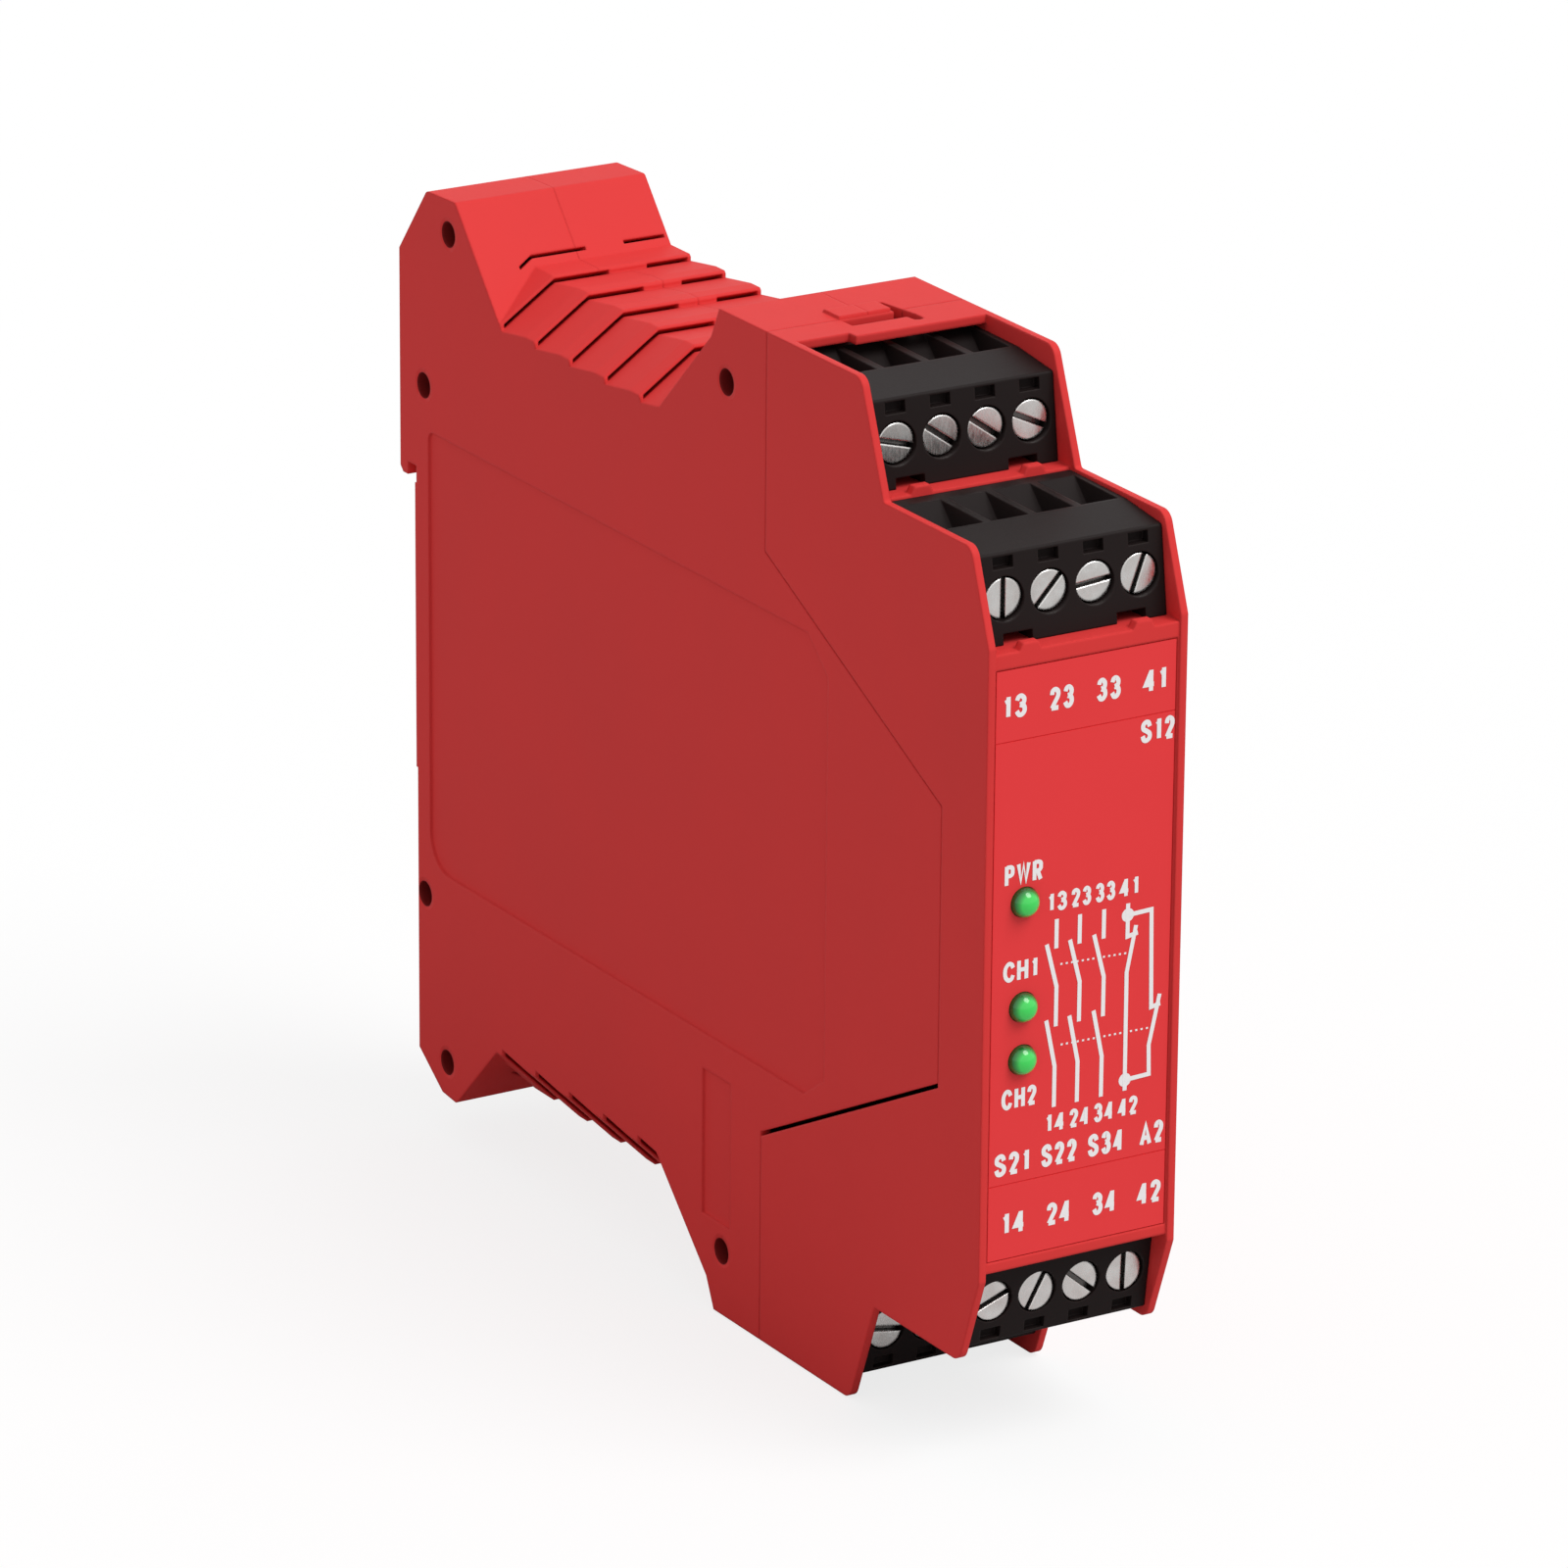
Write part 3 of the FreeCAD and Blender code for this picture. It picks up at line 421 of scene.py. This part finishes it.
@dataclass(frozen=True)
class BareMetal:
    """Plated metal with tool marks and slight tarnish in patches."""

    name: str
    colour: Colour
    tarnish: Colour
    roughness: float
    lay: Lay = Lay.ROLLED
    pitch: float = 0.0002

    def material(self, face: float | None = None) -> bpy.types.Material:
        """Builds the material.

        Args:
            face: Y of a slotted head's face. What lies deeper, such as the cut across the head, gets painted shade.

        Returns:
            The finished material.
        """
        graph = new_graph(self.name)
        stretch = (1.0, 0.08, 1.0) if self.lay is Lay.ROLLED else (1.0, 1.0, 0.25)
        marks = graph.noise(self.pitch, 3.0, stretch)
        patches = graph.noise(0.0016, 2.0)
        colour = graph.blend((patches * 1.6 - 0.45).clamped(), self.colour, self.tarnish)
        if face is not None:
            depth = graph.node("ShaderNodeSeparateXYZ", None, {0: graph.place()}, "Y")
            painted_slot_shade = ((depth - (face + 0.0001)) * 5000.0).clamped()
            # Painted shade over the cut across the head and everything deeper than the face.
            colour = graph.blend(painted_slot_shade * 0.9, colour, shade(self.tarnish, 0.1))
        rough = self.roughness + (marks - 0.5) * 0.25
        normal = graph.bump(marks, 0.000004, graph.rounded(0.00025))
        return graph.surface(Base_Color=colour, Metallic=1.0, Roughness=rough, Normal=normal)


@dataclass(frozen=True)
class BoardLaminate:
    """Solder mask over copper tracks and the laminate's weave."""

    name: str
    mask: Colour
    track: Colour

    def material(self) -> bpy.types.Material:
        """Builds the material."""
        graph = new_graph(self.name)
        values = {"Vector": graph.place(), "Scale": 260.0}
        cells = graph.node("ShaderNodeTexVoronoi", {"distance": "MANHATTAN"}, values, "Distance")
        tracks = ((cells - 0.35) * 14.0).clamped()
        weave = graph.noise(0.0005, 1.0)
        colour = graph.blend(tracks, self.mask, self.track)
        height = tracks * 0.8 + weave * 0.2
        return graph.surface(Base_Color=colour, Roughness=0.3 + weave * 0.12, Coat_Weight=0.3,
                             Normal=graph.bump(height, 0.00003))


@dataclass(frozen=True)
class Palette:
    """Every finish of the module."""

    # The factor that lightens each plastic along its edges and hole rims paints a highlight there.
    housing: MouldedPlastic = MouldedPlastic("housing_red", (0.745, 0.047, 0.046), roughness=0.55, specular=0.08,
                                             edge=0.0004, painted_edge_highlight=1.25)
    label: PrintedFilm = PrintedFilm("label_film_red", (0.88, 0.052, 0.056))
    ink: ScreenInk = ScreenInk("ink_white", (0.99, 0.97, 0.97))
    terminal: MouldedPlastic = MouldedPlastic("terminal_black", (0.0145, 0.0098, 0.0095), roughness=0.5,
                                              specular=0.1, grain_depth=0.000006, tone=0.12, painted_edge_highlight=2.4)
    foot: MouldedPlastic = MouldedPlastic("foot_black", (0.02, 0.019, 0.02), roughness=0.55, specular=0.2,
                                          painted_edge_highlight=1.6)
    header: MouldedPlastic = MouldedPlastic("header_black", (0.016, 0.016, 0.017), roughness=0.5, specular=0.2)
    relay: MouldedPlastic = MouldedPlastic("relay_cover", (0.78, 0.77, 0.72), roughness=0.28, tone=0.03)
    sleeve: MouldedPlastic = MouldedPlastic("capacitor_sleeve", (0.02, 0.03, 0.09), roughness=0.3)
    board: BoardLaminate = BoardLaminate("board_green", (0.012, 0.12, 0.05), (0.03, 0.2, 0.08))
    screw: BareMetal = BareMetal("screw_steel", (1.0, 0.99, 0.97), (0.8, 0.74, 0.71), 0.26, Lay.TURNED)
    spring: BareMetal = BareMetal("spring_steel", (0.6, 0.6, 0.61), (0.4, 0.39, 0.38), 0.3)
    tin: BareMetal = BareMetal("contact_tin", (0.78, 0.77, 0.74), (0.6, 0.58, 0.54), 0.35)
    brass: BareMetal = BareMetal("cage_brass", (0.72, 0.56, 0.27), (0.45, 0.33, 0.16), 0.3)


# ------------------------------------------------------------------ mesh helpers
def finish_piece(name: str, mesh: bmesh.types.BMesh, material: bpy.types.Material, body: str) -> bpy.types.Object:
    """Turns a bmesh into a finished piece on a body.

    Args:
        name: Name of the piece.
        mesh: Its shape in the frame, which is freed.
        material: Its finish.
        body: CAD body that it rides on.

    Returns:
        The new object.
    """
    data = bpy.data.meshes.new(name)
    mesh.to_mesh(data)
    mesh.free()
    data.materials.append(material)
    piece = bpy.data.objects.new(name, data)
    bpy.context.scene.collection.objects.link(piece)
    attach(piece, body)
    LOG.info("%s: %d faces on %s", name, len(data.polygons), body)
    return piece


def dress(node: str, material: bpy.types.Material) -> None:
    """Gives a CAD node its finish.

    Args:
        node: The node's name.
        material: The finish.
    """
    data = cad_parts[node].data
    data.materials.clear()
    data.materials.append(material)
    LOG.info("%s: %s", node, material.name)


@dataclass(frozen=True)
class Glyph:
    """A character drawn as strokes in a box that is 1 wide and 1 high."""

    straight: tuple[tuple[Point, ...], ...] = ()
    curved: tuple[tuple[Point, ...], ...] = ()
    share: float = 1.0

    def strokes(self) -> list[list[Vector]]:
        """Every stroke as a run of points, with the curved ones smoothed."""
        runs = [[Vector(point) for point in stroke] for stroke in self.straight]
        return runs + [smooth_run([Vector(point) for point in stroke]) for stroke in self.curved]


def smooth_run(points: list[Vector], steps: int = 4) -> list[Vector]:
    """Smooth curve through points.

    Args:
        points: The points in order.
        steps: Parts of the curve from one point to the next.

    Returns:
        The curve's own points.
    """
    ends = [2 * points[0] - points[1]] + points + [2 * points[-1] - points[-2]]
    curve = [points[0]]
    for before, here, there, after in zip(ends, ends[1:], ends[2:], ends[3:]):
        for step in range(1, steps + 1):
            part = step / steps
            bend = (2 * before - 5 * here + 4 * there - after) * part ** 2
            twist = (3 * here - before - 3 * there + after) * part ** 3
            curve.append((2 * here + (there - before) * part + bend + twist) / 2)
    return curve


BOWL = ((0.0, 1.0), (0.62, 1.0), (0.95, 0.92), (1.0, 0.75), (0.95, 0.57), (0.62, 0.48), (0.0, 0.48))
GLYPHS = {
    "1": Glyph((((0.72, 0.0), (0.72, 1.06)), ((0.78, 0.97), (0.52, 0.82), (0.16, 0.76))), (), 0.78),
    "2": Glyph((((0.0, 0.0), (1.0, 0.0)),),
               (((0.03, 0.72), (0.12, 0.92), (0.5, 1.0), (0.9, 0.88), (0.92, 0.64), (0.55, 0.36), (0.06, 0.0)),)),
    "3": Glyph((), (((0.05, 0.78), (0.2, 0.95), (0.55, 1.0), (0.9, 0.85), (0.85, 0.62), (0.4, 0.54)),
                    ((0.4, 0.53), (0.88, 0.44), (0.98, 0.2), (0.7, 0.01), (0.3, 0.01), (0.02, 0.22)))),
    "4": Glyph((((0.72, -0.08), (0.72, 1.05)), ((0.72, 1.0), (0.04, 0.28), (1.06, 0.28)))),
    "A": Glyph((((-0.05, -0.08), (0.5, 1.0), (1.05, -0.08)), ((0.2, 0.28), (0.8, 0.28))), (), 1.15),
    "C": Glyph((), (((1.0, 0.72), (0.82, 0.94), (0.45, 1.0), (0.1, 0.8), (0.0, 0.5), (0.1, 0.2), (0.45, 0.0),
                     (0.82, 0.06), (1.0, 0.28)),), 1.15),
    "H": Glyph((((0.0, -0.08), (0.0, 1.08)), ((1.0, -0.08), (1.0, 1.08)), ((0.0, 0.52), (1.0, 0.52))), (), 1.1),
    "P": Glyph((((0.0, -0.08), (0.0, 1.08)),), (BOWL,), 1.05),
    "R": Glyph((((0.0, -0.08), (0.0, 1.08)), ((0.5, 0.48), (0.98, -0.08))), (BOWL,), 1.1),
    "S": Glyph((), (((0.97, 0.74), (0.8, 0.95), (0.45, 1.0), (0.08, 0.88), (0.08, 0.65), (0.5, 0.52),
                     (0.95, 0.36), (0.95, 0.12), (0.55, 0.0), (0.18, 0.05), (0.0, 0.27)),), 1.1),
    "W": Glyph((((0.0, 1.08), (0.25, 0.0), (0.5, 1.0), (0.75, 0.0), (1.0, 1.08)),), (), 1.5),
}


@dataclass
class FrontPlane:
    """Drawing plane on the label: x to the right and up from the label's middle, in millimetres."""

    middle_x: float
    middle_z: float
    front: float
    film: float = 0.02
    layer: float = 0.002
    weight: float = 0.205
    count: int = 0

    def lay_down(self, mesh: bmesh.types.BMesh, outline: list[Vector]) -> bmesh.types.BMFace:
        """Adds one face on the print's current layer.

        Args:
            mesh: Mesh that the face is added to.
            outline: Its corners in millimetres, counter-clockwise from the front.

        Returns:
            The face.
        """
        out = self.front - (self.film + self.layer * (self.count % 8)) * MM
        corners = [Vector((self.middle_x + point.x * MM, out, self.middle_z + point.y * MM)) for point in outline]
        return mesh.faces.new([mesh.verts.new(corner) for corner in corners])

    def ribbon(self, mesh: bmesh.types.BMesh, points: list[Vector], width: float) -> None:
        """Adds a printed line through points, mitred at its corners, on a layer of its own.

        Args:
            mesh: Mesh that the line is added to.
            points: The line's run in millimetres.
            width: Width of the line.
        """
        self.count += 1
        sides = []
        for index, here in enumerate(points):
            into = here - points[index - 1] if index else points[1] - here
            away = points[index + 1] - here if index + 1 < len(points) else into
            into, away = into.normalized(), away.normalized()
            across = Vector((-(into + away).y, (into + away).x)).normalized()
            reach = width / 2 / max(0.55, across.dot(Vector((-into.y, into.x))))
            sides.append((here + across * reach, here - across * reach))
        faces = [self.lay_down(mesh, [left, right, next_right, next_left])
                 for (left, right), (next_left, next_right) in zip(sides, sides[1:])]
        bmesh.ops.remove_doubles(mesh, verts=list({vert for face in faces for vert in face.verts}), dist=1e-8)

    def dot(self, mesh: bmesh.types.BMesh, middle: Point, radius: float, sides: int = 20) -> None:
        """Adds a round printed dot on a layer of its own.

        Args:
            mesh: Mesh that the dot is added to.
            middle: Its middle in millimetres.
            radius: Its radius.
            sides: Corners of its outline.
        """
        self.count += 1
        turns = [2 * math.pi * step / sides for step in range(sides)]
        self.lay_down(mesh, [Vector(middle) + Vector((math.cos(turn), math.sin(turn))) * radius for turn in turns])

    def words(self, mesh: bmesh.types.BMesh, text: str, middle: Point, tall: float, wide: float) -> None:
        """Adds bold narrow lettering.

        Args:
            mesh: Mesh that the lettering is added to.
            text: What it says.
            middle: Middle of the lettering in millimetres.
            tall: Height of a capital.
            wide: Width of the whole text.
        """
        line = tall * self.weight
        gap = line * 0.55
        shares = [GLYPHS[letter].share for letter in text]
        unit = (wide - gap * (len(text) - 1)) / sum(shares)
        left = middle[0] - wide / 2
        bottom = middle[1] - tall / 2 + line / 2
        for letter, share in zip(text, shares):
            room = unit * share - line
            for stroke in GLYPHS[letter].strokes():
                run = [Vector((left + line / 2 + point.x * room, bottom + point.y * (tall - line)))
                       for point in stroke]
                self.ribbon(mesh, run, line)
            left += unit * share + gap


# ------------------------------------------------------------------ sub-assemblies
@dataclass
class Housing:
    """The two base shells and the front hood."""

    palette: Palette
    catches: MouldedHoles = MouldedHoles(((-0.0074, 0.0444), (-0.002, 0.0268), (-0.0631, 0.0434),
                                          (-0.0631, -0.0484), (-0.0018, -0.0294), (-0.0064, -0.047)),
                                         radius=0.00135, rim=0.00045)

    def build(self) -> None:
        """Dresses the shells and the hood."""
        base = self.palette.housing.material(self.catches)
        for node in ("base_shell_left", "base_shell_right"):
            dress(node, base)
        dress("front_hood", self.palette.housing.material())


@dataclass(frozen=True)
class NumberRow:
    """A printed row: its texts, where the first and the next stand, and its size in millimetres."""

    name: str
    texts: tuple[str, ...]
    first: float
    pitch: float
    up: float
    tall: float
    digit: float

    def width(self, text: str) -> float:
        """Width of one text of the row."""
        return len(text) * self.digit


@dataclass
class FrontLabel:
    """The label film with its printed numbers and contact diagram."""

    palette: Palette
    line: float = 0.46
    node_radius: float = 0.7
    link_pitch: float = 0.62
    link_dash: float = 0.24
    link_line: float = 0.2
    middle_rise: float = 0.25
    plane: FrontPlane = field(init=False)
    rows: tuple[NumberRow, ...] = (
        NumberRow("numbers_top", ("13", "23", "33", "41"), -8.1, 5.3, 26.1, 2.35, 1.38),
        NumberRow("numbers_small_top", ("13", "23", "33", "41"), -2.9, 2.75, 5.5, 1.95, 1.14),
        NumberRow("numbers_small_low", ("14", "24", "34", "42"), -2.7, 2.8, -17.2, 1.95, 1.14),
        NumberRow("terminal_marks_low", ("S21", "S22", "S34", "A2"), -7.5, 5.35, -20.5, 2.35, 1.36),
        NumberRow("numbers_low", ("14", "24", "34", "42"), -7.3, 5.23, -26.7, 2.35, 1.38),
    )
    captions: tuple[tuple[str, str, Point, float, float], ...] = (
        ("caption_power", "PWR", (-6.75, 9.1), 2.1, 4.3),
        ("caption_channel_1", "CH1", (-6.9, -0.75), 2.1, 4.0),
        ("caption_channel_2", "CH2", (-6.85, -13.85), 2.1, 4.0),
        ("terminal_mark_top", "S12", (8.2, 21.0), 2.35, 3.9),
    )
    contacts: tuple[float, ...] = (-2.9, -0.26, 2.5)

    def __post_init__(self) -> None:
        """Places the drawing plane on the film."""
        low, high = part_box("front_label")
        self.plane = FrontPlane((low.x + high.x) / 2, (low.z + high.z) / 2 + self.middle_rise * MM, low.y)

    def build(self) -> None:
        """Dresses the film and prints it."""
        dress("front_label", self.palette.label.material())
        ink = self.palette.ink.material()
        for row in self.rows:
            mesh = bmesh.new()
            for index, text in enumerate(row.texts):
                middle = (row.first + index * row.pitch, row.up)
                self.plane.words(mesh, text, middle, row.tall, row.width(text))
            finish_piece(row.name, mesh, ink, "housing")
        for name, text, middle, tall, wide in self.captions:
            mesh = bmesh.new()
            self.plane.words(mesh, text, middle, tall, wide)
            finish_piece(name, mesh, ink, "housing")
        for name, mesh in (("diagram_make_contacts", self.make_contacts()),
                           ("diagram_break_contacts", self.break_contacts()),
                           ("diagram_links", self.links())):
            finish_piece(name, mesh, ink, "housing")

    def path(self, mesh: bmesh.types.BMesh, *points: Point) -> None:
        """Draws a line through the points."""
        self.plane.ribbon(mesh, [Vector(point) for point in points], self.line)

    def make_contacts(self) -> bmesh.types.BMesh:
        """Three pairs of make contacts, one pair in each of three paths."""
        mesh = bmesh.new()
        for x in self.contacts:
            self.path(mesh, (x, 3.7), (x, 0.7))
            self.path(mesh, (x - 1.1, 1.3), (x + 0.1, -3.2), (x + 0.1, -7.3))
            self.path(mesh, (x - 1.0, -6.5), (x + 0.05, -11.4), (x + 0.05, -15.6))
        return mesh

    def break_contacts(self) -> bmesh.types.BMesh:
        """Two break contacts side by side, joined at both ends."""
        mesh = bmesh.new()
        self.path(mesh, (5.24, 3.8), (5.24, 0.4), (6.43, 0.6))
        self.path(mesh, (6.2, 1.4), (5.23, -3.3), (5.28, -15.5))
        self.path(mesh, (5.24, 2.6), (7.95, 2.7), (8.15, -7.4), (9.2, -7.2))
        self.path(mesh, (9.1, -6.2), (7.96, -11.3), (8.04, -14.3), (5.28, -14.4))
        for middle in ((5.24, 2.6), (5.28, -14.4)):
            self.plane.dot(mesh, middle, self.node_radius)
        return mesh

    def links(self) -> bmesh.types.BMesh:
        """Dotted lines for the mechanical links between the contacts."""
        mesh = bmesh.new()
        for start, end in (((-2.4, -1.0), (5.5, -1.3)), ((-2.2, -9.3), (8.2, -9.5))):
            count = round((end[0] - start[0]) / self.link_pitch)
            step = Vector((end[0] - start[0], end[1] - start[1])) / count
            for index in range(count):
                x = start[0] + step.x * index
                up = start[1] + step.y * index
                dash = [Vector((x, up)), Vector((x + self.link_dash, up))]
                self.plane.ribbon(mesh, dash, self.link_line)
        return mesh


@dataclass
class Indicators:
    """The three green lenses."""

    palette: Palette
    lens: LensPlastic = LensPlastic("led_green", (0.003, 0.06, 0.012), (0.04, 0.6, 0.09), 0.0015)
    nodes: tuple[str, ...] = ("led_power", "led_channel_1", "led_channel_2")

    def build(self) -> None:
        """Dresses the lenses."""
        for node in self.nodes:
            low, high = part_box(node)
            dress(node, self.lens.material((low + high) / 2))


@dataclass
class Terminals:
    """Four plug-in blocks with their screws, cages, headers and pins."""

    palette: Palette
    tiers: tuple[str, ...] = ("upper_rear", "upper_front", "lower_front", "lower_rear")
    poles: int = 4

    def build(self) -> None:
        """Dresses every terminal piece."""
        black = self.palette.terminal.material()
        header = self.palette.header.material()
        brass = self.palette.brass.material()
        tin = self.palette.tin.material()
        for tier in self.tiers:
            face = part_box(f"screw_{tier}_1")[0].y
            # Screw steel with painted shade below the face of this tier's heads.
            steel = self.palette.screw.material(face)
            dress("terminal_block_" + tier, black)
            dress("pin_header_" + tier, header)
            dress("header_pins_" + tier, tin)
            for pole in range(1, self.poles + 1):
                dress(f"screw_{tier}_{pole}", steel)
                dress(f"cage_{tier}_{pole}", brass)


@dataclass
class Inside:
    """Board, relays and capacitor."""

    palette: Palette

    def build(self) -> None:
        """Dresses the parts on the board."""
        dress("circuit_board", self.palette.board.material())
        cover = self.palette.relay.material()
        for node in ("relay_channel_1", "relay_channel_2"):
            dress(node, cover)
        dress("supply_capacitor", self.palette.sleeve.material())


@dataclass
class RailGrip:
    """Sliding foot and its spring."""

    palette: Palette

    def build(self) -> None:
        """Dresses the foot and the spring."""
        dress("rail_foot", self.palette.foot.material())
        dress("foot_spring", self.palette.spring.material())


# ------------------------------------------------------------------ studio
@dataclass
class Studio:
    """Floor, light and camera."""

    ambient: float = 0.6
    key_strength: float = 1.68
    key_from: Colour = (0.3, -0.5, 0.81)
    key_angle: float = 35.0
    floor_return: Colour = (0.5, 0.5, 0.5)
    floor_lift: float = 0.8
    camera_turn: float = -31.27
    camera_rise: float = 19.47
    camera_roll: float = 0.46
    camera_away: float = 0.939
    lens: float = 213.9
    shift: Point = (0.005, -0.003125)
    floor_size: float = 8.0

    def build(self) -> None:
        """Builds the whole studio."""
        scene = bpy.context.scene
        scene.view_settings.view_transform = "Standard"
        self.backdrop(scene)
        self.floor()
        self.key_lamp()
        scene.camera = self.camera()
        LOG.info("studio: floor, key lamp and camera")

    def backdrop(self, scene: bpy.types.Scene) -> None:
        """White surroundings: full white where they are seen, softer as light.

        Args:
            scene: The scene that gets the world.
        """
        world = bpy.data.worlds.new("studio_white")
        scene.world = world
        graph = Graph(world)
        seen = None
        for ray in ("Is Camera Ray", "Is Glossy Ray", "Is Transmission Ray"):
            one = graph.node("ShaderNodeLightPath", output=ray)
            seen = one if seen is None else seen + one
        soft = graph.node("ShaderNodeBackground", None, {"Strength": self.ambient, "Color": (1.0, 1.0, 1.0)})
        white = graph.node("ShaderNodeBackground", None, {"Strength": 1.0, "Color": (1.0, 1.0, 1.0)})
        mixed = graph.node("ShaderNodeMixShader", None, {0: seen.clamped(), 1: soft, 2: white})
        graph.node("ShaderNodeOutputWorld", None, {"Surface": mixed})

    def floor(self) -> None:
        """Pale floor under the object, which keeps its shadow."""
        low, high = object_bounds()
        mesh = bmesh.new()
        middle = Vector(((low.x + high.x) / 2, (low.y + high.y) / 2, low.z - 0.0002))
        bmesh.ops.create_grid(mesh, x_segments=1, y_segments=1, size=self.floor_size / 2,
                              matrix=Matrix.Translation(middle))
        data = bpy.data.meshes.new("studio_floor")
        mesh.to_mesh(data)
        mesh.free()
        data.materials.append(self.floor_material())
        floor = bpy.data.objects.new("studio_floor", data)
        bpy.context.scene.collection.objects.link(floor)
        floor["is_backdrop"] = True

    def floor_material(self) -> bpy.types.Material:
        """Matt floor: white where the camera sees it, greyer in the light that it throws back."""
        graph = new_graph("studio_floor_white")
        seen = graph.node("ShaderNodeLightPath", output="Is Camera Ray")
        tone = graph.noise(0.4, 1.0)
        white = graph.blend(tone, (0.96, 0.96, 0.96), (0.98, 0.98, 0.98))
        matt = graph.node("ShaderNodeBsdfDiffuse", None, {"Color": graph.blend(seen, self.floor_return, white)})
        glow = graph.node("ShaderNodeEmission", None, {"Color": (1.0, 1.0, 1.0), "Strength": 1.0})
        mixed = graph.node("ShaderNodeMixShader", None, {0: seen * self.floor_lift, 1: matt, 2: glow})
        graph.node("ShaderNodeOutputMaterial", None, {"Surface": mixed})
        return graph.owner

    def key_lamp(self) -> None:
        """Broad soft key from the front right, above."""
        lamp = bpy.data.lights.new("studio_key", "SUN")
        lamp.energy = self.key_strength
        lamp.angle = math.radians(self.key_angle)
        key = bpy.data.objects.new("studio_key", lamp)
        key.rotation_euler = Vector(self.key_from).to_track_quat("Z", "Y").to_euler()
        bpy.context.scene.collection.objects.link(key)

    def camera(self) -> bpy.types.Object:
        """Long lens on the object's left front, a little above.

        Returns:
            The camera.
        """
        low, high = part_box("front_hood")
        aim = Vector((0.0, -0.0545, (low.z + high.z) / 2))
        turn = math.radians(self.camera_turn)
        rise = math.radians(self.camera_rise)
        back = Vector((math.sin(turn) * math.cos(rise), -math.cos(turn) * math.cos(rise), math.sin(rise)))
        data = bpy.data.cameras.new("studio_camera")
        data.lens = self.lens
        data.sensor_width = 36.0
        data.shift_x, data.shift_y = self.shift
        camera = bpy.data.objects.new("studio_camera", data)
        camera.location = aim + back * self.camera_away
        camera.rotation_mode = "QUATERNION"
        roll = Quaternion((0.0, 0.0, 1.0), math.radians(self.camera_roll))
        camera.rotation_quaternion = (-back).to_track_quat("-Z", "Y") @ roll
        bpy.context.scene.collection.objects.link(camera)
        return camera


def main() -> None:
    """Builds the module and its studio."""
    logging.basicConfig(level=logging.INFO, format="%(name)s: %(message)s")
    palette = Palette()
    for part in (Housing(palette), FrontLabel(palette), Indicators(palette), Terminals(palette),
                 Inside(palette), RailGrip(palette), Studio()):
        part.build()


if __name__ == "__main__":
    main()
